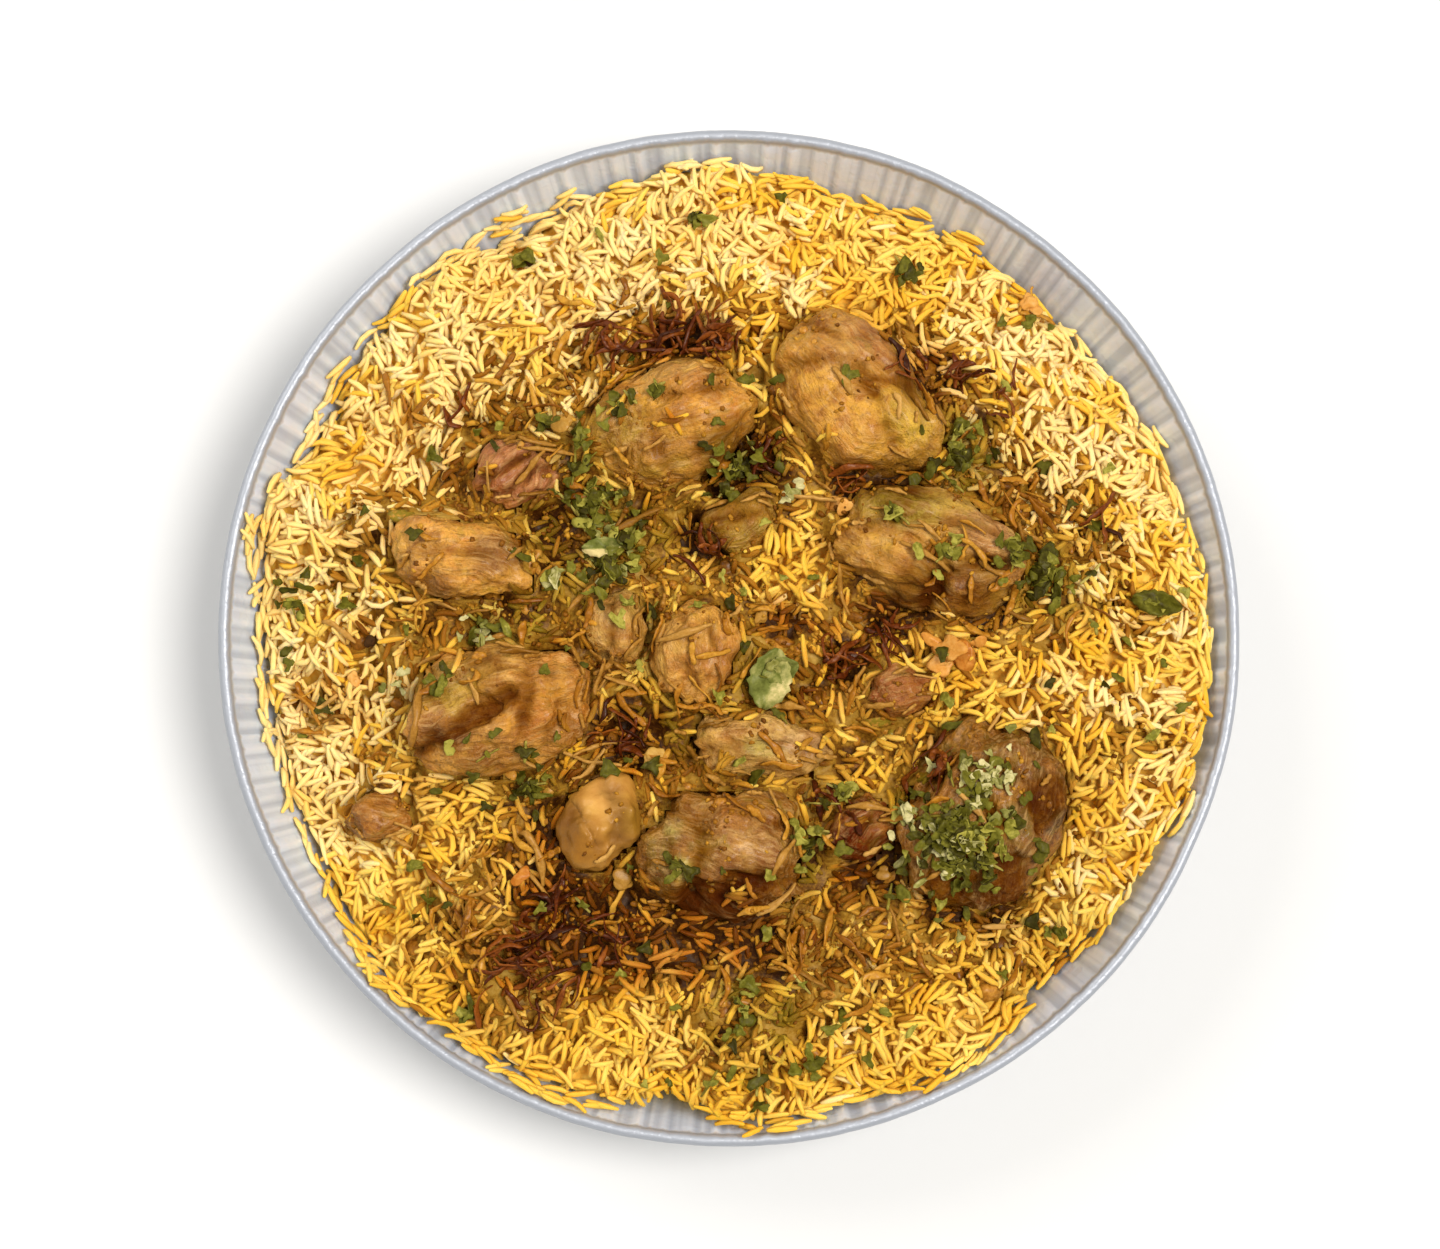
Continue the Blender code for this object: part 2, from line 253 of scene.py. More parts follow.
# Crevices between the pieces: sunk lower, and darkened with dark, reddish masala and painted shade.
HOLLOWS = (
    (-0.19, -0.21, 0.07, 0.95), (-0.045, 0.19, 0.05, 0.8), (0.03, 0.315, 0.085, 0.9), (0.24, 0.275, 0.045, 0.9),
    (0.33, 0.265, 0.05, 0.95), (0.31, 0.03, 0.045, 0.95), (0.37, 0.075, 0.045, 0.9), (0.23, -0.06, 0.04, 0.9),
    (0.1, 0.015, 0.045, 0.85), (0.28, -0.46, 0.06, 0.9), (0.42, -0.515, 0.055, 0.95), (0.53, -0.5, 0.05, 0.9),
    (-0.09, 0.57, 0.055, 0.7), (0.01, -0.575, 0.07, 0.9), (-0.34, -0.38, 0.055, 0.85), (-0.34, -0.5, 0.07, 0.7),
    (0.62, -0.33, 0.045, 0.8), (0.38, 0.5, 0.065, 0.7), (-0.35, 0.2, 0.045, 0.6), (-0.47, -0.07, 0.04, 0.6),
    (-0.22, -0.6, 0.11, 0.95), (-0.33, 0.14, 0.045, 0.6), (0.49, 0.04, 0.05, 0.5), (-0.11, -0.6, 0.095, 0.9),
    (0.06, -0.63, 0.06, 0.6),
)


def covered(patches, x, y):
    """How far soft patches cover each place, from 0 to 1."""
    clear = np.ones(np.shape(x))
    for across, back, reach, strength in patches:
        away = np.hypot(x / RIM - across, y / RIM - back) / reach
        clear *= 1 - strength / (1 + np.exp((away - 1) * 8))
    return 1 - clear


def sauced(x, y):
    """How far masala has run into the rice at each place."""
    return covered(SAUCED, x, y) * (1 - covered(CLEAN, x, y))


# ---------------------------------------------------------------- foil tray

BASE_SHARE = 0.8267  # the base's radius as a share of the rim's
FOIL = 0.0008  # the base's thickness
BEAD_RADIUS = 0.0017  # of the rolled rim
BEAD_INSET = 0.0003  # keeps the dented bead within the rim's radius
SHEET = 0.00035  # the wall's thickness
FLUTES = 120
POINTS_PER_FLUTE = 8
FLUTE_DEPTH = 0.0014
RIDGES = ((0.45, 1), (0, 0.75), (0, 0.5))  # the least and most of a flute's three ridges
WALL_RINGS = 9
BEAD_POINTS = 8
BASE_CORNER = 0.002


def foil_material():
    """Pressed aluminium foil: satin grey metal, its sheen broken by small crinkles, with painted
    shade in the pleats' valleys and a painted highlight on their ridges, and the rolled rim painted
    a duller, darker grey as a painted reflection of the dark surroundings. It is mixed with dull
    white, as a tray's coated foil is, and is painted cooler inside, to offset the warm light the
    rice throws on it."""
    material, node = new_material("pressed_aluminium_foil")
    ridge, inner, rolled = (
        node("Attribute", out="Fac", attribute_name=name) for name in ("ridge", "inner", "rolled")
    )
    crinkle = node("TexNoise", {
        "Vector": node("TexCoord", out="Object"), "Scale": per_metre(3.2), "Detail": 4.0,
        "Roughness": 0.6, "Distortion": 0.6,
    })
    # Painted shade in the pleats' valleys and painted highlight on their ridges; then a painted cool tint inside,
    # and the rim's painted darker grey.
    tone = node("ValToRGB", {"Fac": ridge}, ((0.0, "#CCD2DA"), (0.35, "#F0F4F8"), (0.9, "#FFFFFF")))
    for share, colour, blend in ((inner, "#E4EEFF", "MULTIPLY"), (rolled, "#A6AAB2", "MIX")):
        tone = node("Mix", {0: share, 6: tone, 7: colour}, **MIXED, blend_type=blend)
    rough = node("MapRange", {"Value": crinkle, "From Min": 0.3, "From Max": 0.7, "To Min": 0.34, "To Max": 0.5})
    bump = node("Bump", {"Height": crinkle, "Strength": 0.5, "Distance": 0.0006})
    shader = node("BsdfPrincipled", {"Base Color": tone, "Metallic": 0.3, "Roughness": rough, "Normal": bump})
    node("OutputMaterial", {"Surface": shader})
    return material


def wall_radius(height):
    """Middle radius of the wall's inner side at a height."""
    share = (height - FOIL) / (TRAY_HEIGHT - BEAD_RADIUS - FOIL)
    return RIM * BASE_SHARE + share * (RIM - 2 * BEAD_RADIUS - RIM * BASE_SHARE)


def foil_tray():
    """The tray: a flat base, a fluted wall a little dented by hand, and a crimped, rolled rim."""
    rng = np.random.default_rng(11)
    sectors = FLUTES * POINTS_PER_FLUTE
    angle = np.arange(sectors) * FULL_TURN / sectors
    through = (np.arange(sectors) % POINTS_PER_FLUTE) / POINTS_PER_FLUTE
    flute = np.arange(sectors) // POINTS_PER_FLUTE
    main, second, third = (rng.uniform(*span, FLUTES)[flute] for span in RIDGES)
    # Pleats: narrow ridges that stand in from the sheet, with flatter foil between them.
    pleat = main * bell((through - 0.5) / 0.15)
    pleat = pleat + second * np.maximum(bell(through / 0.12), bell((through - 1) / 0.12))
    pleat = pleat + third * bell((through - 0.25) / 0.1)
    unit = np.stack([np.cos(angle), np.sin(angle)], 1)
    dent = noise_over(*(unit * RIM).T, 0.035, 3)
    small_dent = noise_over(*(unit * RIM).T, 0.009, 4)

    def ring(radius, height, pleated, dented):
        out = radius - pleated * FLUTE_DEPTH * 0.8 * (pleat - 0.3)
        out = out + dented * (0.0005 * dent + 0.00025 * small_dent)
        rise = dented * 0.0004 * np.roll(dent, 40)
        return np.c_[unit * out[:, None], np.full(sectors, height) + rise]

    base = RIM * BASE_SHARE
    heights = np.linspace(FOIL, TRAY_HEIGHT - 2 * BEAD_RADIUS, WALL_RINGS)
    wall = [(h, (h / TRAY_HEIGHT) ** 0.6, h / TRAY_HEIGHT) for h in heights]
    rings = [ring(base * 0.5, 0.0, 0, 0), ring(base - BASE_CORNER, 0.0, 0.1, 0)]
    rings += [ring(wall_radius(h) + SHEET, h, pleated, dented) for h, pleated, dented in wall]
    for turn in np.linspace(-100, 190, BEAD_POINTS + 1):
        out, up = BEAD_RADIUS * math.cos(math.radians(turn)), BEAD_RADIUS * math.sin(math.radians(turn))
        crimp = 0.06 if -60 < turn < 100 else 0.3
        rings.append(
            ring(RIM - BEAD_RADIUS - BEAD_INSET + out, TRAY_HEIGHT - BEAD_RADIUS - BEAD_INSET + up, crimp, 0.6)
        )
    rings += [ring(wall_radius(h), h, pleated, dented) for h, pleated, dented in wall[::-1]]
    rings += [ring(base - BASE_CORNER, FOIL, 0.1, 0), ring(base * 0.5, FOIL, 0, 0)]
    vertices = np.concatenate(rings + [[[0, 0, 0.0]], [[0, 0, FOIL]]])
    bead = (WALL_RINGS + 2) * sectors
    inside = bead + (BEAD_POINTS + 1) * sectors
    rolled, inner = np.zeros((2, len(vertices)))
    rolled[bead:inside] = 1.0
    inner[inside:-2] = 1.0
    # The ridge share is the pleats' height, which the foil colour uses for painted shade in the valleys and painted
    # highlight on the ridges.
    return add_mesh(
        "pleated_foil_tray", vertices, turned_faces(len(rings), sectors), foil_material(), "foil", ("foil_tray",),
        rolled=rolled, inner=inner, ridge=np.r_[np.tile(np.clip(pleat, 0, 1), len(rings)), 0, 0],
    )


# ---------------------------------------------------------------- chicken and potato

# node is the CAD node that is dressed, and fibres the way its fibres run, in degrees. torn, fibrous
# and pasted are how ragged, how stringy and how thick with masala it is.
# Each crease is its line, depth, width and lip, and each colour patch its place, reach, colour and strength; most
# are the meat's own colour, a few are painted shade and painted highlight.
Dressing = namedtuple(
    "Dressing", "node fibres colour creases stains torn fibrous pasted", defaults=((), (), 1.0, 0.6, -0.05)
)

TAN = "#BF862C"
ORANGE_TAN = "#CC8327"
# A pinkish tan that pieces take near their tops as a painted highlight.
HIGHLIGHT_PINK_TAN = "#D29F4E"
OLIVE_TAN = "#AC8A2F"
OLIVE = "#7B6214"
BROWN = "#875311"
# A dark brown that pieces take along their lower edges as painted shade.
DARK = "#492106"
LEMON = "#DCB43D"

# Lines and colour patches are placed in shares of each piece's half width and half depth from its
# middle; depths, widths and lips are in metres. A lip lifts the meat left of the line.
DRESSINGS = (
    Dressing("chicken_thigh_back", -50, TAN,
        creases=((((-0.95, 0.2), (-0.45, 0.3), (0.05, 0.2), (0.3, -0.15), (0.45, -0.6)), 0.0017, 0.0018, 0.0009),
            (((-0.6, 0.75), (-0.2, 0.55), (0.2, 0.55)), 0.0014, 0.0014, 0.0006),
            (((0.2, 0.1), (0.6, 0.05), (0.85, -0.25)), 0.0016, 0.0014, 0.0008)),
        stains=((-0.35, -0.25, 0.6, "#D29535", 0.9), (-0.15, 0.35, 0.3, HIGHLIGHT_PINK_TAN, 0.8),
            (0.3, 0.6, 0.45, "#975727", 0.7), (0.7, -0.25, 0.4, LEMON, 0.6), (-0.6, 0.7, 0.4, "#BC812C", 0.7),
            (0.75, 0.35, 0.35, BROWN, 0.7)), fibrous=0.25),
    Dressing("chicken_breast_back", 20, "#D39435",
        creases=((((-0.8, 0.2), (-0.35, 0.35), (0.1, 0.28), (0.65, 0.45)), 0.0016, 0.0015, 0.0008),
            (((-0.35, 0.1), (-0.2, -0.45), (-0.05, -0.85)), 0.0014, 0.002, -0.0007),
            (((0.2, 0.0), (0.3, -0.5)), 0.0008, 0.0016, 0.0004)),
        stains=((-0.1, 0.8, 0.45, HIGHLIGHT_PINK_TAN, 0.85), (-0.65, -0.1, 0.45, OLIVE_TAN, 0.8),
            (0.35, 0.15, 0.4, "#CD872F", 0.7), (-0.2, -0.55, 0.4, OLIVE, 0.5),
            (0.55, -0.6, 0.4, "#765A13", 0.7)), fibrous=0.3),
    Dressing("chicken_shred_left", 38, "#A8683C",
        creases=((((-0.8, -0.3), (-0.2, 0.2), (0.5, 0.6)), 0.0022, 0.0013, 0.001),
            (((-0.3, -0.8), (0.3, -0.1), (0.9, 0.2)), 0.0024, 0.0014, 0.001)),
        stains=((0.5, 0.6, 0.5, "#B98058", 0.8), (-0.6, -0.4, 0.5, "#8A4A1C", 0.7))),
    Dressing("chicken_strip_left", -14, "#D8983C",
        creases=((((-0.9, 0.1), (-0.2, 0.25), (0.5, 0.1), (0.9, -0.2)), 0.0008, 0.0014, 0.0005),
            (((-0.5, -0.5), (0.0, -0.35), (0.4, -0.5)), 0.001, 0.0012, 0.0005)),
        stains=((-0.3, -0.7, 0.25, DARK, 0.7), (0.65, 0.1, 0.6, "#6A4014", 0.85),
            (-0.6, 0.2, 0.5, "#D69C48", 0.7)), fibrous=0.4),
    Dressing("chicken_leg_left", 8, "#C4893A",
        creases=((((-0.95, -0.75), (-0.6, -0.45), (-0.25, -0.12), (0.08, 0.18)), 0.004, 0.0027, 0.0016),
            (((-0.85, 0.1), (-0.45, 0.4), (-0.1, 0.75)), 0.0014, 0.0014, 0.0006),
            (((0.25, 0.85), (0.3, 0.2), (0.2, -0.35)), 0.0016, 0.0018, -0.0008),
            (((0.5, 0.6), (0.6, 0.0), (0.45, -0.6)), 0.001, 0.0014, 0.0)),
        # The two near-black patches, low left and along the deep crease, are painted shade in that crevice.
        stains=((-0.5, 0.25, 0.5, OLIVE_TAN, 0.8), (-0.52, -0.4, 0.26, "#4C2206", 0.95),
            (-0.2, -0.1, 0.18, "#5A2A08", 0.8), (0.45, -0.1, 0.5, ORANGE_TAN, 0.6),
            (0.0, 0.8, 0.35, HIGHLIGHT_PINK_TAN, 0.5), (0.95, -0.5, 0.45, BROWN, 0.8),
            (-0.1, -0.75, 0.35, "#A57422", 0.7)), fibrous=0.55),
    Dressing("chicken_shred_middle", 100, "#C89A4C",
        creases=((((-0.3, 0.7), (0.1, 0.1), (-0.1, -0.6)), 0.002, 0.0013, 0.0006),),
        stains=((0.0, 0.5, 0.4, "#AF9049", 0.6),)),
    Dressing("chicken_bit_back", 24, "#B0872C",
        creases=((((-0.6, 0.1), (0.5, 0.2)), 0.0016, 0.0012, 0.0005),),
        stains=((0.3, -0.3, 0.5, OLIVE, 0.5),)),
    Dressing("chicken_lump_middle", 78, "#D29540",
        creases=((((-0.5, 0.9), (-0.1, 0.3), (-0.2, -0.3), (0.0, -0.9)), 0.0011, 0.0015, 0.0008),
            (((0.3, 0.5), (0.5, -0.2)), 0.0012, 0.0012, -0.0005)),
        stains=((-0.6, 0.0, 0.5, "#D2A050", 0.7), (0.5, -0.4, 0.4, "#A25C20", 0.6)), fibrous=0.45),
    Dressing("chicken_slice_middle", -5, "#BC9048",
        creases=((((-0.9, -0.2), (0.0, 0.15), (0.9, 0.1)), 0.0012, 0.0014, 0.0007),),
        stains=((-0.6, 0.0, 0.5, "#CC9545", 0.7), (0.05, -0.1, 0.3, "#A89B55", 0.7),
            (0.65, 0.1, 0.4, "#C89E70", 0.7)), fibrous=0.6, pasted=-0.25),
    Dressing("chicken_thigh_front", -14, "#8A5A12",
        creases=((((-0.75, 0.75), (-0.35, 0.45), (-0.25, 0.0), (-0.45, -0.6)), 0.0024, 0.002, -0.001),
            (((-0.45, -0.75), (-0.05, -0.52), (0.35, -0.52), (0.8, -0.35)), 0.005, 0.0036, 0.0024),
            (((0.1, 0.95), (0.25, 0.55), (0.6, 0.4), (0.95, 0.45)), 0.0014, 0.0015, 0.0006),
            (((-0.65, 0.2), (-0.6, -0.35)), 0.0014, 0.0014, 0.0006)),
        # The near-black patch low in the middle is a painted shadow in the crevice under the lobe.
        stains=((0.25, 0.3, 0.5, "#A6773C", 0.85), (-0.62, -0.05, 0.42, "#745A10", 0.85),
            (0.1, -0.72, 0.52, "#2A1004", 0.95), (-0.45, -0.25, 0.14, "#C0AC55", 0.8),
            (-0.6, 0.35, 0.14, "#A89752", 0.7), (0.85, 0.75, 0.4, BROWN, 0.8)), fibrous=0.5),
    Dressing("chicken_round_right", 70, "#76500A",
        creases=((((-0.85, 0.1), (-0.45, 0.45), (0.1, 0.55), (0.5, 0.3), (0.65, -0.2)), 0.002, 0.0018, -0.0008),
            (((-0.6, -0.3), (-0.1, -0.6), (0.4, -0.55)), 0.0022, 0.0018, 0.001),
            (((0.0, 0.1), (0.25, -0.25)), 0.0014, 0.0016, 0.0004)),
        # The dark patches at the right and along the bottom are painted shade on those edges.
        stains=((0.8, 0.0, 0.5, "#422A06", 0.85), (0.2, -0.85, 0.4, DARK, 0.75),
            (-0.65, 0.35, 0.35, "#916324", 0.7), (-0.1, 0.75, 0.4, "#655010", 0.7),
            (0.15, 0.0, 0.5, "#84640E", 0.5)), fibrous=0.6, pasted=0.25),
    Dressing("chicken_shred_right", 40, "#73300E",
        creases=((((-0.7, -0.4), (0.0, 0.0), (0.6, 0.5)), 0.002, 0.0013, 0.0008),),
        stains=((-0.6, 0.0, 0.5, "#5C1808", 0.8), (0.5, 0.2, 0.5, "#A5652B", 0.6))),
    Dressing("chicken_leg_right", -16, "#C08B35",
        creases=((((-0.85, 0.2), (-0.35, 0.45), (0.15, 0.4), (0.65, 0.2)), 0.0014, 0.0015, 0.0008),
            (((-0.1, -0.95), (0.1, -0.5), (0.35, -0.25), (0.75, -0.3)), 0.003, 0.0024, 0.0016),
            (((-0.6, -0.05), (-0.3, -0.35)), 0.0014, 0.0014, 0.0005)),
        # The dark patch low down is a painted shadow along the piece's lower side.
        stains=((-0.3, 0.6, 0.45, "#99862A", 0.85), (0.62, 0.2, 0.5, "#B07C48", 0.85),
            (-0.45, -0.15, 0.4, "#C8903A", 0.8), (0.25, -0.62, 0.35, "#492706", 0.8),
            (0.3, 0.75, 0.3, "#A28B3A", 0.5), (0.95, -0.35, 0.3, "#8A5420", 0.7)), fibrous=0.65),
    Dressing("chicken_bit_middle", 15, "#995727",
        stains=((0.0, 0.2, 0.5, "#A56732", 0.5),)),
    Dressing("chicken_bit_left", 12, "#9D6520",
        stains=((0.2, 0.2, 0.5, "#A56E2A", 0.5),)),
)
POTATO = Dressing("potato_piece", 60, "#B07E36", fibrous=0.1, torn=0.75,
        creases=((((-0.7, 0.5), (-0.2, -0.2), (0.1, -0.8)), 0.0012, 0.0018, 0.0006),
            (((0.15, 0.95), (0.35, 0.2), (0.6, -0.8)), 0.002, 0.0028, 0.0012)),
        # The pale patch near the top is a painted highlight.
        stains=((0.05, 0.45, 0.5, "#D4A058", 0.85), (-0.4, -0.5, 0.5, "#93621C", 0.8),
            (0.75, 0.0, 0.4, "#7C5A12", 0.7), (-0.85, 0.1, 0.3, "#8A5A18", 0.7),),)

LARGE_PIECE = 0.022  # pieces longer than this get one more level of smoothing
FIBRE_SPACING = 0.0027
FIBRE_LENGTH = 0.020
DEEP_CREASE = 0.003  # from this depth on, a crease's pooled sauce and painted shade are as dark as they get


def chicken_material():
    """Braised chicken in masala: moist fibrous meat under a grainy, oily sauce, so soft broken
    highlights over tan to brown, with the sauce darkest where it pools and painted shade
    darkening the creases, valleys, lower parts and crevices."""
    material, node = new_material("braised_masala_chicken")
    where = node("TexCoord", out="Object")
    meat = node("Attribute", out="Color", attribute_name="meat")
    along = node("Attribute", out="Vector", attribute_name="fibre")
    hollow, paste = (node("Attribute", out="Fac", attribute_name=name) for name in ("hollow", "paste"))
    blotch, stew, grit, strand = (
        node("TexNoise", {
            "Vector": place, "Scale": scale, "Detail": detail, "Roughness": rough, "Distortion": distorted,
        })
        for place, scale, detail, rough, distorted in (
            (where, per_metre(6), 5.0, 0.65, 0.5), (where, per_metre(8), 4.0, 0.6, 0.8),
            (where, per_metre(1.5), 3.0, 0.7, 0.0), (along, 2.2, 4.0, 0.6, 0.3),
        )
    )
    blotchy = node("ValToRGB", {"Fac": blotch}, ((0.30, "#8F7348"), (0.50, "#C4C0B4"), (0.70, "#F6E6B4")))
    pasty = node("ValToRGB", {"Fac": grit}, ((0.36, "#6A3406"), (0.5, "#9A5A12"), (0.66, "#C88426")))
    tone = node("Mix", {0: 0.75, 6: meat, 7: blotchy}, **MIXED, blend_type="SOFT_LIGHT")
    for pattern, low, high, most, over in (
        (stew, 0.50, 0.64, 0.6, "#84490A"),  # fried brown
        (stew, 0.44, 0.34, 0.45, "#94781A"),  # olive from the herbs
        (grit, 0.52, 0.68, 0.46, "#5C2E06"),  # ground spice
        (strand, 0.48, 0.70, 0.5, "#DCAE6A"),  # pale fibres
        (paste, 0.0, 1.0, 0.5, pasty),
        (hollow, 0.0, 1.0, 1.0, "#441600"),  # pooled sauce, and painted shade in creases, valleys, low down and in crevices
    ):
        share = node("MapRange", {"Value": pattern, "From Min": low, "From Max": high, "To Max": most})
        tone = node("Mix", {0: share, 6: tone, 7: over}, **MIXED)
    height = node("Math", {0: grit, 1: strand}, operation="ADD")
    bump = node("Bump", {"Height": height, "Strength": 0.8, "Distance": 0.0011})
    rough = node("MapRange", {"Value": blotch, "From Min": 0.3, "From Max": 0.7, "To Min": 0.28, "To Max": 0.50})
    # The gleam fades where the sauce and painted shade are thickest, as painted shade on the reflections.
    wet = node("MapRange", {"Value": hollow, "From Max": 0.5, "To Min": 0.55, "To Max": 0.03})
    oil = node("Math", {0: wet, 1: 0.28}, operation="MULTIPLY")
    shader = node("BsdfPrincipled", {
        "Base Color": tone, "Roughness": rough, "IOR": 1.42, "Specular IOR Level": wet,
        "Specular Tint": "#FFF0DC", "Coat Weight": oil, "Coat Roughness": 0.18, "Coat IOR": 1.47,
        "Normal": bump,
    })
    node("OutputMaterial", {"Surface": shader})
    return material


def potato_material():
    """Boiled potato in masala: smooth, waxy and faintly mottled, with a soft wet highlight."""
    material, node = new_material("boiled_masala_potato")
    flesh = node("Attribute", out="Color", attribute_name="meat")
    hollow = node("Attribute", out="Fac", attribute_name="hollow")
    mottle = node("TexNoise", {"Vector": node("TexCoord", out="Object"), "Scale": per_metre(4), "Detail": 4.0})
    tone = node("ValToRGB", {"Fac": mottle}, ((0.3, "#9C8A60"), (0.7, "#D8CFA8")))
    tone = node("Mix", {0: 0.5, 6: flesh, 7: tone}, **MIXED, blend_type="SOFT_LIGHT")
    # Darker in creases and low down: pooled sauce and painted shade.
    tone = node("Mix", {0: hollow, 6: tone, 7: "#5A320C"}, **MIXED)
    bump = node("Bump", {"Height": mottle, "Strength": 0.7, "Distance": 0.0008})
    shader = node("BsdfPrincipled", {
        "Base Color": tone, "Roughness": 0.45, "IOR": 1.42, "Specular Tint": OILY, "Coat Weight": 0.1,
        "Coat Roughness": 0.2, "Coat IOR": 1.47, "Normal": bump,
    })
    node("OutputMaterial", {"Surface": shader})
    return material


def smoothed_mesh(node):
    """The CAD node's mesh with its seams merged and its facets smoothed out."""
    work = bmesh.new()
    work.from_mesh(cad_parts[node].data)
    bmesh.ops.remove_doubles(work, verts=work.verts, dist=1e-5)
    mesh = bpy.data.meshes.new(f"smooth_{node}")
    work.to_mesh(mesh)
    work.free()
    helper = bpy.data.objects.new(f"smooth_{node}", mesh)
    bpy.context.scene.collection.objects.link(helper)
    helper.modifiers.new("smoothing", "SUBSURF").levels = 3 if helper.dimensions.x > LARGE_PIECE else 2
    graph = bpy.context.evaluated_depsgraph_get()
    smooth = bpy.data.meshes.new_from_object(helper.evaluated_get(graph))
    bpy.data.objects.remove(helper)
    smooth.shade_smooth()
    return smooth


def line_reach(line, x, y):
    """Distance of each place from a line of points, and the side it is on: 1 left, -1 right."""
    best = np.full(x.shape, 1e9)
    side = np.ones(x.shape)
    for (ax, ay), (bx, by) in zip(line, line[1:]):
        dx, dy = bx - ax, by - ay
        share = np.clip(((x - ax) * dx + (y - ay) * dy) / (dx * dx + dy * dy), 0, 1)
        away = np.hypot(x - ax - share * dx, y - ay - share * dy)
        nearer = away < best
        side = np.where(nearer, np.sign(dx * (y - ay) - dy * (x - ax)), side)
        best = np.minimum(best, away)
    return best, side


def dress(dressing, material, slot):
    """A piece of chicken or potato over its CAD solid: lumps, fibres, creases and colour patches, some of them
    painted shade and painted highlight.
    """
    low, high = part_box(dressing.node)
    middle, half = (low + high) / 2, (high - low) / 2
    mesh = smoothed_mesh(dressing.node)
    count = len(mesh.vertices)
    points = np.empty(count * 3, np.float32)
    mesh.vertices.foreach_get("co", points)
    points = points.reshape(-1, 3).astype(float)
    normals = np.array([v.normal for v in mesh.vertices])
    facing_up = np.clip(normals[:, 2] * 1.6 + 0.5, 0, 1)
    seed = middle.x * 90 + middle.y * 41
    long_way = max(half.x, half.y) * 2
    turn = math.radians(dressing.fibres)
    way = np.array([math.cos(turn), math.sin(turn), 0.0])
    side = np.array([-math.sin(turn), math.cos(turn), 0.0])
    # The outline first: the whole surface is pushed about, most at the torn ends of the fibres.
    ends = np.clip((np.abs((points - np.array(middle)) @ way) / (long_way / 2) - 0.45) / 0.5, 0, 1)
    for spread, reach in ((0.36 * long_way, 0.095 * long_way), (0.010, 0.0016), (0.005, 0.0010), (0.0026, 0.0004)):
        push = np.stack([noise_at(points, spread, seed + 20 + k) for k in range(3)], 1)
        points += dressing.torn * reach * push * np.array([1, 1, 0.55]) * (0.8 + 0.6 * ends[:, None])
    here = points - np.array(middle)
    swirl = 0.0050 * noise_at(points, 0.018, seed + 50) + 0.0014 * noise_at(points, 0.006, seed + 51)
    along, over = here @ way, here @ side + swirl
    fibre = np.stack([along / FIBRE_LENGTH, over / FIBRE_SPACING, here[:, 2] / FIBRE_SPACING], 1)
    out = 0.0010 * noise_at(points, 0.0085, seed) + 0.0005 * noise_at(points, 0.0038, seed + 2)
    # Bundles of muscle: rounded folds that run with the fibres, with valleys between them.
    span = max(0.0052, 0.16 * long_way)
    bundle = np.stack([along / (3.4 * span), over / span, here[:, 2] / span], 1)
    fold = np.minimum(np.abs(noise_at(bundle, 1.0, seed + 40)) * 2.7, 1.0)
    out += dressing.fibrous * 0.032 * long_way * (fold - 0.6) * (0.4 + 0.6 * facing_up)
    strands = np.abs(noise_at(fibre * 0.8, 1.0, seed + 4))
    fine = min(0.9, 1.6 * dressing.fibrous)
    out += fine * (0.0011 * (np.minimum(strands * 2.2, 1.0) - 0.45) * (0.6 + ends))
    out += fine * 0.0005 * noise_at(fibre, 0.45, seed + 6)
    valley = dressing.fibrous * np.square(1 - fold)
    x, y = here[:, 0], here[:, 1]
    groove = np.zeros(count)
    wobble = 0.0009 * noise_at(points, 0.005, seed + 8)
    broken = np.clip(0.75 + 0.9 * noise_at(points, 0.007, seed + 12), 0.1, 1.15)
    for line, depth, width, lip in dressing.creases:
        away, hand = line_reach([(u * half.x, v * half.y) for u, v in line], x, y)
        cut = broken * bell((away + wobble) / (width * (0.7 + 0.45 * broken)))
        groove = np.maximum(groove, cut * min(1.0, depth / DEEP_CREASE))
        out -= facing_up * depth * cut
        out += facing_up * lip * hand * np.exp(-away / (width * 2.2)) * (1 - cut)
    dip = np.clip(-out / 0.0022, 0, 1)
    # Masala paste clings in ragged patches, thick in the grooves and grainy where it is thick.
    spread = noise_at(points, 0.010, seed + 30) + 0.55 * noise_at(points, 0.004, seed + 31) + 0.5 * groove
    paste = np.clip((spread + dressing.pasted) * 3.0, 0, 1)
    out += paste * (0.0003 + 0.0005 * np.clip(noise_at(points, 0.0021, seed + 32), -0.25, 0.6))
    points += normals * out[:, None]
    mesh.vertices.foreach_set("co", points.astype(np.float32).ravel())
    colour = np.tile(linear(dressing.colour), (count, 1))
    for across, back, reach, stained, strength in dressing.stains:
        ragged = 0.22 * noise_at(points, 0.006, seed + len(stained) + across)
        away = np.hypot(x / half.x - across, y / half.y - back) / reach + ragged
        share = (strength / (1 + np.exp((away - 0.85) * 7)))[:, None]
        colour = colour * (1 - share) + np.array(linear(stained)) * share
    # Painted shade, with pooled sauce: darker in the creases, in pushed-in dips, in the valleys between bundles,
    # low down where the piece sits in the rice, and in the crevice patches.
    low_down = np.clip((0.05 - (here[:, 2] / half.z)) * 1.2, 0, 1)
    shaded = covered(HOLLOWS, points[:, 0], points[:, 1])
    hollow = np.clip(0.66 * groove + 0.5 * low_down + 0.15 * dip + 0.34 * valley + 0.6 * shaded, 0, 0.92)
    return add_piece(
        f"dressed_{dressing.node}", mesh, material, slot, (dressing.node,),
        fibre=fibre, meat=colour, hollow=hollow, paste=paste,
    )


# ---------------------------------------------------------------- heights over the tray

CELL = 0.0006
CELLS = int(2 * RIM / CELL) + 1
AXIS = np.arange(CELLS) * CELL - RIM


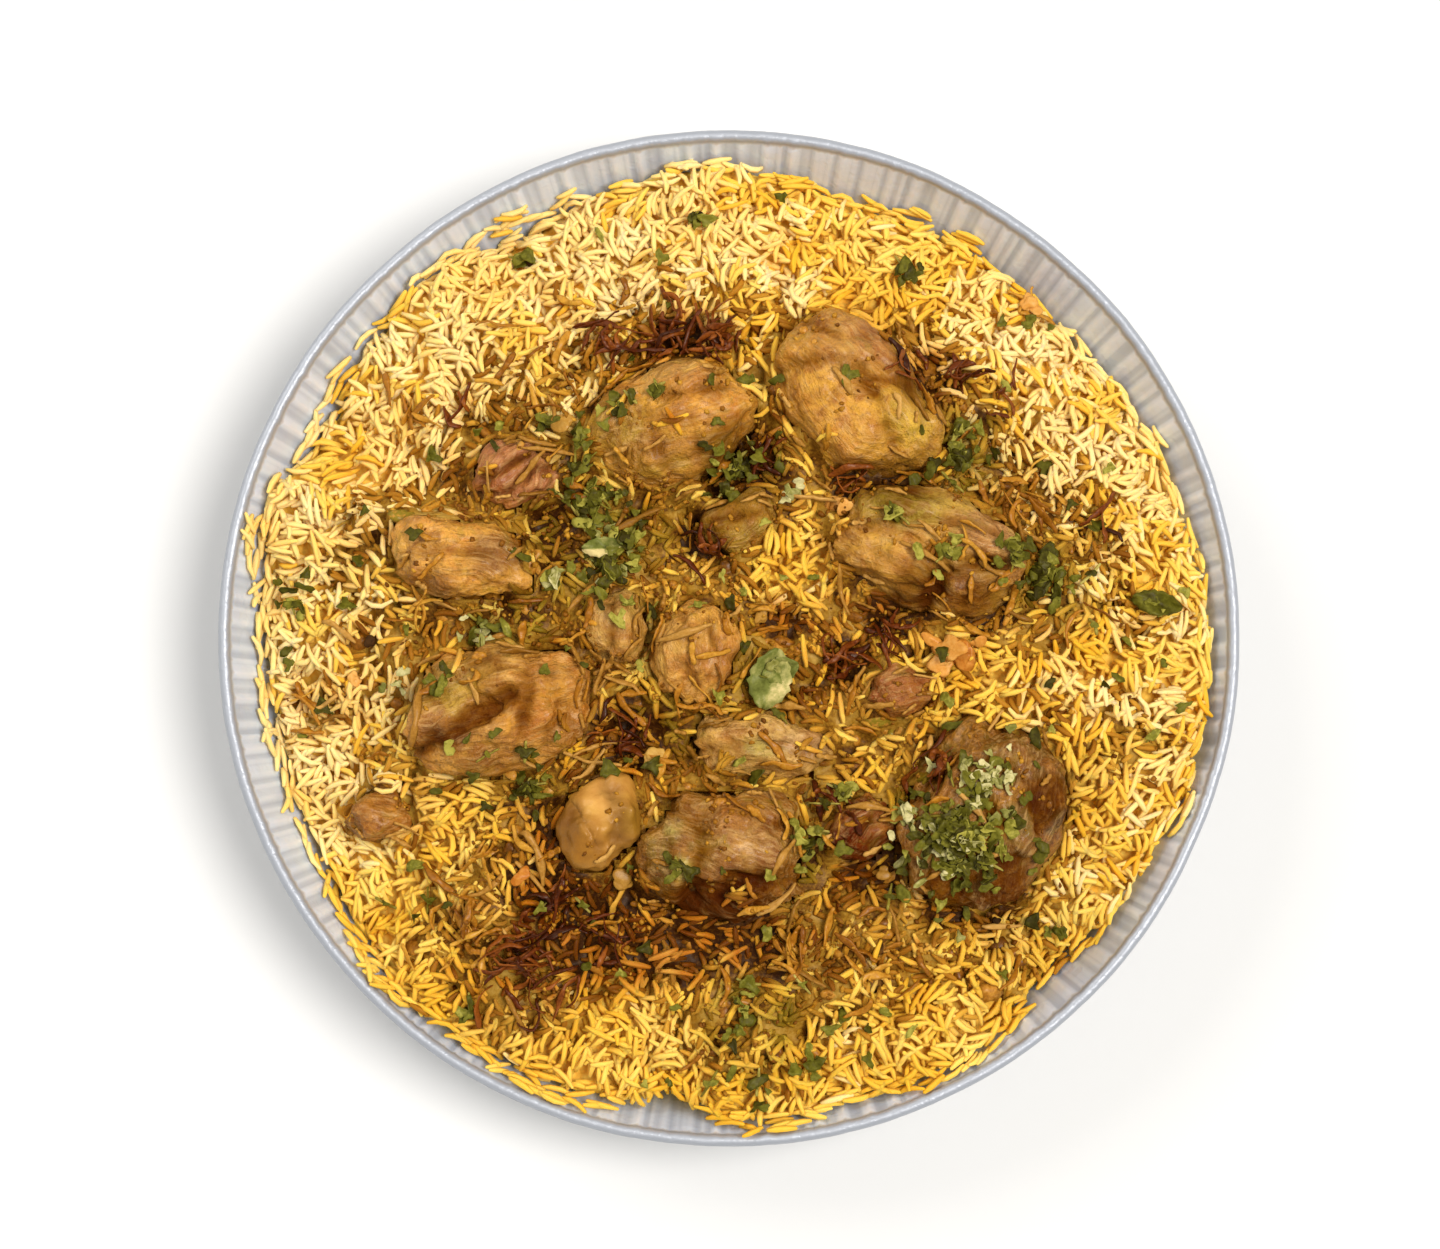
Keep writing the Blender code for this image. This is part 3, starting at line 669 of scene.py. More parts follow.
def cells_of(x, y):
    """The cells of the height maps that hold these places."""
    return tuple(np.clip(((side + RIM) / CELL).astype(int), 0, CELLS - 1) for side in (x, y))


def cell_of(x, y):
    """The cell that holds one place."""
    return int((x + RIM) / CELL), int((y + RIM) / CELL)


def rasterised(thing, low, high, into):
    """Raises the height map to the top of an object within a box."""
    tree = BVHTree.FromObject(thing, bpy.context.evaluated_depsgraph_get())
    (i0, i1), (j0, j1) = cells_of(np.array([low.x, high.x]), np.array([low.y, high.y]))
    for i in range(i0, i1 + 1):
        x = i * CELL - RIM
        for j in range(j0, j1 + 1):
            hit = tree.ray_cast(Vector((x, j * CELL - RIM, 0.2)), Vector((0, 0, -1)))[0]
            if hit and hit.z > into[i, j]:
                into[i, j] = hit.z
    return into


def wall_map():
    """Height of the foil at every place, with the table outside it."""
    radius = np.hypot(AXIS[:, None], AXIS[None, :])
    base, top = wall_radius(FOIL), wall_radius(TRAY_HEIGHT - BEAD_RADIUS)
    climb = (radius - base) / (top - base) * (TRAY_HEIGHT - BEAD_RADIUS - FOIL) + FOIL
    return np.where(radius > RIM, 0.0, np.clip(climb, FOIL, TRAY_HEIGHT))


def softened(field, reach):
    """A map smoothed over a reach, by three moving means along each side."""
    width = 2 * int(reach / CELL / 2) + 1
    window = np.full(width, 1 / width)
    for side in (0, 1, 0, 1, 0, 1):
        field = np.apply_along_axis(np.convolve, side, field, window, "same")
    return field


# ---------------------------------------------------------------- rice

CORE_DEPTH = 0.0042  # the loose grains' depth over the core
CORE_INSET = 0.0028
BANK = 0.0038  # how far rice and masala bank up against the meat
HOLLOW_DEPTH = 0.0040
EDGE_FADE = 0.008  # the heap's relief fades out over this last stretch
LOOSE_LAYER = 0.0026  # of the grains that lie on the foil
CLUMP_SPAN = 0.013
CLUMP_DEPTH = 0.0040
GRAIN_LENGTH = 0.0098
GRAIN_LENGTH_SPREAD = 0.0013
SHORTEST_GRAIN, LONGEST_GRAIN = 0.0062, 0.0126
BROKEN_SHARE = 0.74  # grains that were stirred into the masala are shorter
GRAIN_WIDTHS = (0.00165, 0.0021)
GRAIN_FLATNESS = 0.84
GRAIN_STATIONS = np.array([-0.43, -0.20, 0.10, 0.40])
GRAIN_GIRTHS = np.array([0.62, 1.0, 0.97, 0.60])
GRAIN_SIDES = 5
MOST_GRAINS = 4800  # of one kind, which keeps its piece under 200,000 triangles
WANTED_GRAINS = 3 * MOST_GRAINS - 600
MOST_TRIES = 60000
LEAST_ROOM = -0.0012  # how far over its level the heap may already be where a grain falls
WIDEST_GAP = 0.0032  # under a grain that bridges its bed
HEADROOM = 0.0021
SOFTNESS = 0.0005  # how far a cooked grain sinks into what it lies on


def rice_material(name, stops, stained):
    """Cooked basmati, coloured with saffron and turmeric: soft starchy grains with a faint oily
    gleam, each of its own shade, stained brown where the masala touched them and darkened with
    painted shade in the crevices between the pieces."""
    material, node = new_material(name)
    tint, stain, herbed = (
        node("Attribute", out="Fac", attribute_name=name) for name in ("tint", "stain", "herbed")
    )
    tone = node("ValToRGB", {"Fac": tint}, stops)
    for share, colour in ((stain, stained), (herbed, "#6A6010")):
        tone = node("Mix", {0: share, 6: tone, 7: colour}, **MIXED)
    shader = node("BsdfPrincipled", {
        "Base Color": tone, "Roughness": 0.5, "IOR": 1.4, "Specular IOR Level": 0.16, "Specular Tint": OILY,
        "Coat Weight": 0.02, "Coat Roughness": 0.3, "Coat IOR": 1.47, "Subsurface Weight": 0.4,
        "Subsurface Radius": (1.0, 0.7, 0.3), "Subsurface Scale": 0.0022,
    })
    node("OutputMaterial", {"Surface": shader})
    return material


def core_material():
    """The mass of rice under the loose grains: shaded gold between them, brown under masala."""
    material, node = new_material("packed_rice")
    sauce = node("Attribute", out="Fac", attribute_name="sauce")
    where = node("TexCoord", out="Object")
    grains = node("TexVoronoi", {"Vector": where, "Scale": per_metre(2.2), "Randomness": 1.0}, feature="F1")
    clean, brown = (
        node("ValToRGB", {"Fac": grains}, ((0.1, near), (0.8, far)))
        for near, far in (("#FFD860", "#FABC40"), ("#98560C", "#5A2A00"))
    )
    tone = node("Mix", {0: sauce, 6: clean, 7: brown}, **MIXED)
    bump = node("Bump", {"Height": grains, "Strength": 0.6, "Distance": 0.001}, invert=True)
    rough = node("MapRange", {"Value": sauce, "To Min": 0.5, "To Max": 0.26})
    shader = node("BsdfPrincipled", {
        "Base Color": tone, "Roughness": rough, "IOR": 1.4, "Specular IOR Level": 0.12, "Specular Tint": OILY,
        "Normal": bump,
    })
    node("OutputMaterial", {"Surface": shader})
    return material


def rice_edge():
    """The heap's radius where it meets the wall, by azimuth, read from its CAD solid."""
    points = np.array([v.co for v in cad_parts["rice_heap"].data.vertices])
    radius = np.hypot(points[:, 0], points[:, 1])
    rim = points[(radius > 0.86 * RIM) & (points[:, 2] > 0.5 * TRAY_HEIGHT)]
    azimuth = np.round(np.degrees(np.arctan2(rim[:, 1], rim[:, 0])) % 360, 1)
    turns = np.unique(azimuth)
    reach = np.array([np.hypot(*rim[azimuth == t, :2].T).max() for t in turns])
    return lambda angle: np.interp(np.degrees(angle) % 360, turns, reach, period=360) + np.minimum(run_up(angle), 0)


# Where loose rice runs up the foil past the heap's edge, or has slid back from it (below zero):
# azimuth, spread in degrees, and reach.
RUNS_UP = (
    (232, 5, -0.0040), (264, 6, -0.0070), (328, 5, -0.0020), (348, 7, -0.0030),
    (24, 5, 0.0060), (68, 9, 0.0070), (116, 8, 0.0050), (148, 8, 0.0030), (170, 5, 0.0035),
    (194, 14, 0.0020), (224, 10, 0.0032), (248, 10, 0.0028), (274, 6, 0.0026), (302, 10, 0.0018),
    (322, 6, 0.0015), (338, 6, 0.0024),
)


def run_up(angle):
    """How far the loose rice runs up the foil at an azimuth, or stays back from it."""
    turns = np.degrees(angle) % 360
    return 0.0008 + sum(reach * bell((turns - at) / spread) for at, spread, reach in RUNS_UP)


def clumps(x, y):
    """Relief of the rice: soft clumps with creases between them."""
    big = np.abs(noise_over(x, y, CLUMP_SPAN, 21))
    small = noise_over(x, y, CLUMP_SPAN * 0.45, 22)
    return CLUMP_DEPTH * (np.minimum(big * 2.6, 1.0) - 0.75) + 0.0012 * small


def rice_core(top, edge):
    """The heap under the loose grains, on the CAD heap's own shape."""
    sectors, rings = 180, 64
    angle = np.arange(sectors) * FULL_TURN / sectors
    foot, floor = wall_radius(FOIL) - 0.0022, FOIL + 0.0006
    rows = [np.stack([foot * np.cos(angle), foot * np.sin(angle), np.full(sectors, floor)], 1)]
    for step in range(rings, 0, -1):
        radius = (step / rings) ** 0.9 * (edge(angle) - CORE_INSET)
        x, y = radius * np.cos(angle), radius * np.sin(angle)
        rows.append(np.stack([x, y, top[cells_of(x, y)]], 1))
    vertices = np.concatenate(rows + [[[0, 0, floor]], [[0, 0, rows[-1][:, 2].mean()]]])
    return add_mesh(
        "packed_rice_core", vertices, turned_faces(len(rows), sectors), core_material(), "rice", ("rice_heap",),
        sauce=sauced(vertices[:, 0], vertices[:, 1]),
    )


def lay_grain(ground, x, y, heading, length):
    """Rests a grain on the height map: the height of its middle, its slope and the gap under it."""
    run = np.linspace(-0.46, 0.46, 7) * length
    under = ground[cells_of(x + run * math.cos(heading), y + run * math.sin(heading))]
    slope = float((run * (under - under.mean())).sum() / (run * run).sum())
    slope = max(-0.75, min(0.75, slope))
    lift = float((under - slope * run).max())
    return lift - SOFTNESS, slope, lift - float(under.mean())


def through_wall(x, y, z, heading, slope, length):
    """Whether either tip of a grain would reach through the foil."""
    for run in (-length / 2, length / 2):
        radius = math.hypot(x + run * math.cos(heading), y + run * math.sin(heading))
        if radius > wall_radius(z + slope * run) - 0.0005:
            return True
    return False


def press_grain(ground, x, y, z, heading, slope, length, width):
    """Raises the height map over a grain that has been laid."""
    share = np.linspace(-0.5, 0.5, 15)
    for off, top in ((-0.36, 0.62), (0.0, 1.0), (0.36, 0.62)):
        px = x + share * length * math.cos(heading) - off * width * math.sin(heading)
        py = y + share * length * math.sin(heading) + off * width * math.cos(heading)
        spot = cells_of(px, py)
        ground[spot] = np.maximum(ground[spot], z + slope * share * length + width * GRAIN_FLATNESS * top)


def rice_ceiling(target, meat):
    """How high loose grains may lie: over the flanks of the meat and in patches on top of it."""
    spot = np.nonzero(meat > 0)
    x, y = (side * CELL for side in spot)
    patch = noise_over(x, y, 0.007, 51) + 0.4 * noise_over(x, y, 0.003, 52)
    free = (meat[spot] - target[spot] < 0.0020 + 0.004 * patch) | (patch > 0.72)
    ceiling = target.copy()
    ceiling[spot] = np.where(free, np.maximum(meat[spot] + 0.0004, target[spot]), -1)
    return ceiling


def roomiest(rng, edge, ground, ceiling):
    """The place out of three where the rice has the most room to rise."""
    tried = []
    for _ in range(3):
        angle = rng.uniform(0, FULL_TURN)
        radius = math.sqrt(rng.uniform(0, 1)) * (float(edge(angle)) - 0.0012)
        x, y = radius * math.cos(angle), radius * math.sin(angle)
        tried.append((ceiling[cell_of(x, y)] - ground[cell_of(x, y)], x, y, angle, radius))
    return max(tried, key=lambda place: place[0])


def scatter_rice(ground, target, edge, meat):
    """Drops the loose grains, each on what already lies there, until the heap is full.

    A grain is its x, y, z, heading, slope, length, width, bend and shade, as grain_piece reads them.
    """
    ceiling = rice_ceiling(target, meat)
    rng = np.random.default_rng(5)
    grains = {"pale": [], "saffron": [], "masala": []}
    for _ in range(MOST_TRIES):
        if sum(map(len, grains.values())) >= WANTED_GRAINS:
            break
        room, x, y, angle, radius = roomiest(rng, edge, ground, ceiling)
        if room < LEAST_ROOM:
            continue
        pale = float(covered(PALE, x, y))
        draw = rng.uniform()
        light = rng.normal(0.16 + 0.66 * pale + (0.35 + 0.7 * pale) * patch_at(x, y, 0.9, 0.016), 0.12) > 0.5
        kind = "masala" if draw < float(sauced(x, y)) * 0.74 else "pale" if light else "saffron"
        if len(grains[kind]) >= MOST_GRAINS:
            kind = min(grains, key=lambda k: len(grains[k]))
        length = float(np.clip(rng.normal(GRAIN_LENGTH, GRAIN_LENGTH_SPREAD), SHORTEST_GRAIN, LONGEST_GRAIN))
        length *= BROKEN_SHARE if kind == "masala" else 1
        width = rng.uniform(*GRAIN_WIDTHS)
        heading = rng.uniform(0, math.pi)
        if radius > 0.86 * RIM and rng.uniform() < 0.45:
            heading = angle + rng.normal(0, 0.5)
        lift, slope, gap = lay_grain(ground, x, y, heading, length)
        if through_wall(x, y, lift, heading, slope, length):
            heading = angle + math.pi / 2 + rng.normal(0, 0.2)
            lift, slope, gap = lay_grain(ground, x, y, heading, length)
            if through_wall(x, y, lift, heading, slope, length):
                continue
        depth = width * GRAIN_FLATNESS
        if gap > WIDEST_GAP or lift + depth > ceiling[cell_of(x, y)] + HEADROOM:
            continue
        press_grain(ground, x, y, lift, heading, slope, length, width)
        tint = float(np.clip(rng.normal(0.5 + 0.8 * patch_at(x, y, 1.7, 0.011), 0.09), 0, 1))
        grains[kind].append((x, y, lift + depth / 2, heading, slope, length, width, rng.normal(0, 0.10), tint))
        rng.uniform(0, math.pi)  # nothing reads this draw, but the next grain's draws follow on from it
    return grains


def grain_piece(name, grains, material):
    """All the grains of one kind as one mesh."""
    x, y, z, heading, slope, length, width, bend, tint = np.array(grains).T
    way = np.stack([np.cos(heading), np.sin(heading), slope], 1)
    way /= np.linalg.norm(way, axis=1, keepdims=True)
    side = np.stack([-np.sin(heading), np.cos(heading), np.zeros(len(x))], 1)
    up = np.cross(way, side)
    bow = (4 * GRAIN_STATIONS**2 - 0.4)[None, :]
    paths = (
        np.stack([x, y, z], 1)[:, None]
        + (GRAIN_STATIONS[None, :] * length[:, None])[..., None] * way[:, None]
        + (bend[:, None] * length[:, None] * bow)[..., None] * side[:, None]
        + (-0.055 * length[:, None] * bow)[..., None] * up[:, None]
    )
    girth = (width / 2)[:, None] * GRAIN_GIRTHS[None, :]
    ups = np.repeat(up[:, None], len(GRAIN_STATIONS), 1)
    vertices, faces, each = rods(paths, girth, girth * GRAIN_FLATNESS, ups, GRAIN_SIDES)
    x, y = vertices[:, 0], vertices[:, 1]
    patchy = np.clip(noise_at(vertices, 0.010, 35) + 0.5 * noise_at(vertices, 0.005, 36) + 0.05, 0, 0.6)
    stain = (noise_at(vertices, 0.006, 31) * 1.5 + 0.35) * sauced(x, y) * 0.75
    # The crevice patches add painted shade to the masala stain.
    stain = stain + covered(CAUGHT, x, y) * 0.55 + 0.16 * patchy + 0.7 * covered(HOLLOWS, x, y)
    herbed = covered(HERBED, x, y) * (0.7 + 1.4 * noise_at(vertices, 0.008, 33))
    return add_mesh(
        name, vertices, faces, material, "rice",
        tint=np.repeat(tint, each), stain=np.clip(stain, 0, 0.92), herbed=np.clip(herbed, 0, 0.7),
    )


# ---------------------------------------------------------------- what lies on the rice


def topping_material(name, stops, roughness, coat, grain, strength=0.5):
    """A moist, cooked scrap: its own shade from the ramp, mottled at the size of its grain."""
    material, node = new_material(name)
    tint = node("Attribute", out="Fac", attribute_name="tint")
    mottle = node("TexNoise", {
        "Vector": node("TexCoord", out="Object"), "Scale": per_metre(grain), "Detail": 3.0, "Roughness": 0.65,
    })
    offset = node("MapRange", {"Value": mottle, "From Min": 0.3, "From Max": 0.7, "To Min": -0.22, "To Max": 0.22})
    tone = node("ValToRGB", {"Fac": node("Math", {0: tint, 1: offset}, operation="ADD")}, stops)
    bump = node("Bump", {"Height": mottle, "Strength": strength, "Distance": 0.0005})
    shader = node("BsdfPrincipled", {
        "Base Color": tone, "Roughness": roughness, "IOR": 1.42, "Coat Weight": coat, "Specular IOR Level": 0.2,
        "Specular Tint": OILY, "Coat Roughness": 0.25, "Coat IOR": 1.47, "Normal": bump,
    })
    node("OutputMaterial", {"Surface": shader})
    return material


def height_near(ground, x, y, reach):
    """The highest ground within a reach of each place, sampled in eight directions."""
    best = ground[cells_of(x, y)]
    for turn in np.arange(8) * FULL_TURN / 8:
        best = np.maximum(best, ground[cells_of(x + reach * np.cos(turn), y + reach * np.sin(turn))])
    return best


def gathered(rng, clusters):
    """Random places in the clusters, thinning outwards. Each row is a cluster's place and reach,
    in shares of the rim's radius, and its count."""
    places = []
    for across, back, reach, count in clusters:
        for _ in range(count):
            angle, away = rng.uniform(0, FULL_TURN), abs(rng.normal(0, 0.55)) * reach
            places.append(((across + away * math.cos(angle)) * RIM, (back + away * math.sin(angle)) * RIM))
    return places


def scattered(rng, count, chance):
    """Random places over the rice, each kept with its own chance."""
    places = []
    while len(places) < count:
        angle, radius = rng.uniform(0, FULL_TURN), 0.9 * RIM * math.sqrt(rng.uniform())
        x, y = radius * math.cos(angle), radius * math.sin(angle)
        if rng.uniform() < chance(x, y):
            places.append((x, y))
    return places


def blobs(rng, places, heights, sizes, squash, detail, roughness):
    """Many irregular lumps: vertices, faces and how many points each has."""
    work = bmesh.new()
    bmesh.ops.create_icosphere(work, subdivisions=detail, radius=1.0)
    ball = np.array([v.co for v in work.verts])
    faces = np.array([[v.index for v in f.verts] for f in work.faces])
    work.free()
    count, each = len(places), len(ball)
    waves = rng.normal(0, 2.1, (count, 5, 3))
    phases = rng.uniform(0, FULL_TURN, (count, 5, 1))
    swell = np.sin(waves @ ball.T + phases).sum(1) / math.sqrt(5)
    shape = ball[None] * (1 + roughness * swell)[..., None]
    shape = shape * sizes[:, None, None] * np.stack(
        [rng.uniform(0.8, 1.45, count), rng.uniform(0.65, 1.0, count), squash * rng.uniform(0.8, 1.2, count)], 1
    )[:, None]
    turn = rng.uniform(0, FULL_TURN, count)[:, None]
    x, z = turned(shape[..., 0], shape[..., 2], rng.normal(0, 0.3, count)[:, None])
    shape = np.stack([*turned(x, shape[..., 1], turn), z], -1)
    vertices = (shape + np.c_[np.array(places), heights][:, None]).reshape(-1, 3)
    return vertices, repeated([faces], count, each), each


def press_discs(ground, places, heights, reaches):
    """Raises the height map over round things that have been laid."""
    for (x, y), z, reach in zip(places, heights, reaches):
        n = int(reach / CELL)
        i, j = cell_of(x, y)
        a, b = np.mgrid[-n : n + 1, -n : n + 1]
        dome = np.sqrt(np.clip(1 - (a * a + b * b) / max(n * n, 1), 0, 1))
        patch = ground[i - n : i + n + 1, j - n : j + n + 1]
        np.maximum(patch, np.where(dome > 0, z - reach * 0.5 * (1 - dome), 0), out=patch)


def masala_lumps(ground, target, meat):
    """Chunks of onion, tomato and scraps of chicken cooked down in oil and spice, between the
    large pieces and on them."""
    rng = np.random.default_rng(7)

    def chance(x, y):
        if meat[cell_of(x, y)] > 0:
            return 0.8 * max(0.0, patch_at(x, y, 0.3, 0.009) - 0.15)
        return float(sauced(x, y)) ** 2

    places = scattered(rng, 420, chance)
    sizes = rng.uniform(0.0011, 0.0030, len(places)) * rng.choice([1.0, 1.3], len(places), p=[0.85, 0.15])
    x, y = np.array(places).T
    under, full = meat[cells_of(x, y)], target[cells_of(x, y)]
    sizes = np.where(under > 0, 0.55 * sizes, sizes)
    rest = np.where(under > 0, under + 0.1 * sizes, full - 0.0012 + 0.12 * sizes)
    vertices, faces, each = blobs(rng, places, rest, sizes, 0.4, 2, 0.40)
    tint = np.clip(0.5 + 0.5 * noise_over(x, y, 0.02, 41) + rng.normal(0, 0.2, len(places)), 0, 1)
    material = topping_material(
        "cooked_masala_chunks",
        ((0.0, "#5A3206"), (0.35, "#8A5412"), (0.6, "#AC7220"), (0.8, "#BE8634"), (1.0, "#86701C")), 0.38, 0.2, 1.2,
    )
    add_mesh("masala_chunks", vertices, faces, material, "chicken", tint=np.repeat(tint, each))
    press_discs(ground, places, rest + sizes * 0.55, sizes)


def masala_crumbs(ground, meat):
    """Ground spice and broken onion, fried brown in oil, that cling to the rice and the meat."""
    rng = np.random.default_rng(8)

    def chance(x, y):
        patchy = 0.5 + 1.3 * patch_at(x, y, 0.3, 0.009)
        if meat[cell_of(x, y)] > 0:
            return 0.7 * min(1.0, max(0.01, (patchy - 0.66) * 2.2))
        return float(sauced(x, y)) * min(1.0, max(0.04, patchy))

    places = scattered(rng, 2600, chance)
    sizes = rng.uniform(0.00035, 0.0010, len(places))
    rest = ground[cells_of(*np.array(places).T)] + 0.15 * sizes
    vertices, faces, each = blobs(rng, places, rest, sizes, 0.8, 1, 0.25)
    tint = rng.uniform(0, 1, len(places))
    material = topping_material(
        "ground_spice_crumbs",
        ((0.0, "#5E3406"), (0.4, "#84500E"), (0.75, "#A06C18"), (1.0, "#C48E2C")), 0.5, 0.1, 0.8,
    )
    add_mesh("masala_crumbs", vertices, faces, material, "chicken", tint=np.repeat(tint, each))


GRAVY_STEP = 3  # cells of the height map to one of the gravy's
GRAVY_THICKNESS = 0.0015


def masala_gravy(ground, meat, inside):
    """Gravy in the hollows between the grains, creeping up the sides of the meat: onion, tomato
    and spice fried down until the oil parts, so dark, grainy and glossy."""
    coarse = slice(None, None, GRAVY_STEP)
    level = softened(ground, 0.0030)[coarse, coarse]
    x, y = np.meshgrid(AXIS[coarse], AXIS[coarse], indexing="ij")
    wide, small, fine = (noise_over(x, y, span, 60 + span * 1e3) for span in (0.010, 0.004, 0.0022))
    wet = sauced(x, y) + 0.28 * wide + 0.22 * small
    over_meat = np.clip(2 * softened((meat > 0).astype(float), 0.002) - 1, 0, 1)[coarse, coarse]
    top = level - 0.0012 + 0.0017 * (np.minimum(wet, 1.0) - 0.6) + 0.0005 * fine - 0.0016 * over_meat
    keep = (wet > 0.34) & (top > meat[coarse, coarse] - 0.003) & inside[coarse, coarse]
    rows, columns = x.shape
    cell = np.zeros((rows + 1, columns + 1), bool)
    cell[1:-1, 1:-1] = keep[:-1, :-1] & keep[1:, :-1] & keep[1:, 1:] & keep[:-1, 1:]
    i, j = np.nonzero(cell[1:, 1:])
    a, b, c, d = i * columns + j, (i + 1) * columns + j, (i + 1) * columns + j + 1, i * columns + j + 1
    faces = [np.stack([a, b, c, d], 1), np.stack([d, c, b, a], 1) + x.size]
    for first, second, di, dj in ((a, b, 0, -1), (b, c, 1, 0), (c, d, 0, 1), (d, a, -1, 0)):
        bare = ~cell[i + 1 + di, j + 1 + dj]
        faces.append(np.stack([first, first + x.size, second + x.size, second], 1)[bare])
    used, faces = np.unique(np.concatenate(faces), return_inverse=True)
    surface = np.stack([x, y, top], -1).reshape(-1, 3)
    vertices = np.concatenate([surface, surface - [0, 0, GRAVY_THICKNESS]])[used]
    # The gravy is darker in the crevice patches, as painted shade.
    tint = np.clip(0.48 + 0.6 * wide + 0.45 * small - 0.9 * covered(HOLLOWS, x, y), 0, 1).ravel()
    material = topping_material(
        "reduced_masala_gravy",
        ((0.0, "#341602"), (0.3, "#6A420C"), (0.6, "#986E1E"), (1.0, "#B08A3C")), 0.5, 0.05, 1.1,
    )
    add_mesh("masala_gravy", vertices, [faces.reshape(-1, 4)], material, "chicken", tint=np.tile(tint, 2)[used])
    raised = np.where(keep, top, 0).repeat(GRAVY_STEP, 0).repeat(GRAVY_STEP, 1)[:CELLS, :CELLS]
    np.maximum(ground, raised, out=ground)


STRIP_STATIONS = 12
STEEPEST_DROP = 0.0055  # a strip that would hang lower than this is turned, or left out

DARK_ONIONS = (
    (-0.24, 0.57, 0.06, 12), (-0.12, 0.58, 0.07, 18), (-0.03, 0.575, 0.06, 22), (0.34, 0.53, 0.07, 16),
    (0.45, 0.51, 0.05, 6), (0.55, 0.45, 0.07, 4), (0.73, 0.2, 0.04, 3), (-0.04, 0.156, 0.05, 12),
    (0.23, -0.06, 0.04, 10), (0.31, -0.02, 0.05, 10), (0.4, -0.28, 0.05, 10), (-0.4, -0.65, 0.1, 40),
    (-0.33, -0.53, 0.06, 12), (-0.22, -0.61, 0.06, 10), (0.07, 0.33, 0.04, 8), (-0.2, -0.2, 0.06, 10),
    (0.2, -0.34, 0.05, 8), (-0.52, 0.44, 0.05, 3), (0.24, 0.3, 0.04, 6),
)
GOLDEN_ONIONS = (
    (-0.5, -0.55, 0.12, 26), (0.12, -0.62, 0.06, 10), (0.29, -0.66, 0.08, 10), (-0.82, -0.135, 0.06, 5),
    (-0.38, 0.46, 0.14, 8), (-0.62, 0.44, 0.06, 6), (0.6, 0.25, 0.12, 12), (-0.6, 0.05, 0.1, 8),
    (-0.05, -0.15, 0.3, 20), (0.45, 0.05, 0.14, 8), (0.59, 0.66, 0.03, 4), (-0.2, 0.55, 0.22, 14),
)

# Lengths, width, depth and how high it arches are in metres; curl, kink and twist are in radians.
Strip = namedtuple("Strip", "shortest longest width depth curl kink twist rise")


def lay_strip(rng, ground, x, y, heading, length, shape):
    """One thin ribbon that falls over what already lies there: its path and the way it faces."""
    share = np.linspace(0, 1, STRIP_STATIONS)
    bend = rng.normal(0, shape.curl)
    kinks = np.clip(rng.standard_t(2, STRIP_STATIONS - 1) * shape.kink, -0.8, 0.8)
    headings = heading + np.cumsum(bend + kinks)
    step = length / STRIP_STATIONS
    xs = np.concatenate([[0], np.cumsum(step * np.cos(headings))])
    ys = np.concatenate([[0], np.cumsum(step * np.sin(headings))])
    xs, ys = xs - xs.mean() + x, ys - ys.mean() + y
    under = height_near(ground, xs, ys, shape.width * 0.5)
    padded = np.concatenate([under[:1], under[:1], under, under[-1:], under[-1:]])
    smooth = sum(padded[k : k + STRIP_STATIONS] for k in range(5)) / 5
    arch = abs(rng.normal(0, shape.rise)) * np.sin(math.pi * share) + 0.0003 * np.sin(share * rng.uniform(8, 16))
    z = np.maximum(smooth, under - 0.0007) + shape.depth / 2 + arch
    path = np.stack([xs, ys, z], 1)
    roll = rng.normal(0, 0.5) + rng.normal(0, shape.twist) * share
    way = np.gradient(path, axis=0)
    side = np.stack([-way[:, 1], way[:, 0], np.zeros(STRIP_STATIONS)], 1)
    side /= np.linalg.norm(side, axis=1, keepdims=True) + 1e-12
    return path, np.cos(roll)[:, None] * np.array([0, 0, 1.0]) + np.sin(roll)[:, None] * side


def strip_piece(name, rng, ground, places, shape, material, slot=None, headings=None, sides=6):
    """One piece of many ribbons, each pressed into the height map for what falls on it."""
    if headings is None:
        headings = rng.uniform(0, FULL_TURN, len(places))
    paths, ups = [], []
    for (x, y), heading in zip(places, headings):
        for turn in (0, 0.9, -0.9, 1.6):
            length = rng.uniform(shape.shortest, shape.longest)
            path, up = lay_strip(rng, ground, x, y, heading + turn, length, shape)
            if np.ptp(path[:, 2]) < STEEPEST_DROP:
                break
        else:
            continue
        paths.append(path)
        ups.append(up)
        spot = cells_of(path[:, 0], path[:, 1])
        ground[spot] = np.maximum(ground[spot], path[:, 2] + shape.depth / 2)
    count = len(paths)
    share = np.linspace(0, 1, STRIP_STATIONS)
    profile = 0.35 + 0.65 * np.sin(math.pi * np.clip(share * 0.9 + 0.05, 0, 1)) ** 0.6
    uneven = 1 + 0.25 * np.sin(share * rng.uniform(5, 14, (count, 1)) + rng.uniform(0, 6, (count, 1)))
    wide = rng.uniform(0.6, 1.4, (count, 1)) * profile[None] * uneven * shape.width / 2
    thick = np.full((count, STRIP_STATIONS), shape.depth / 2) * rng.uniform(0.8, 1.2, (count, 1))
    vertices, faces, each = rods(np.array(paths), wide, thick, np.array(ups), sides)
    tint = np.clip(rng.normal(0.5, 0.27, count), 0, 1)
    return add_mesh(name, vertices, faces, material, slot, tint=np.repeat(tint, each))


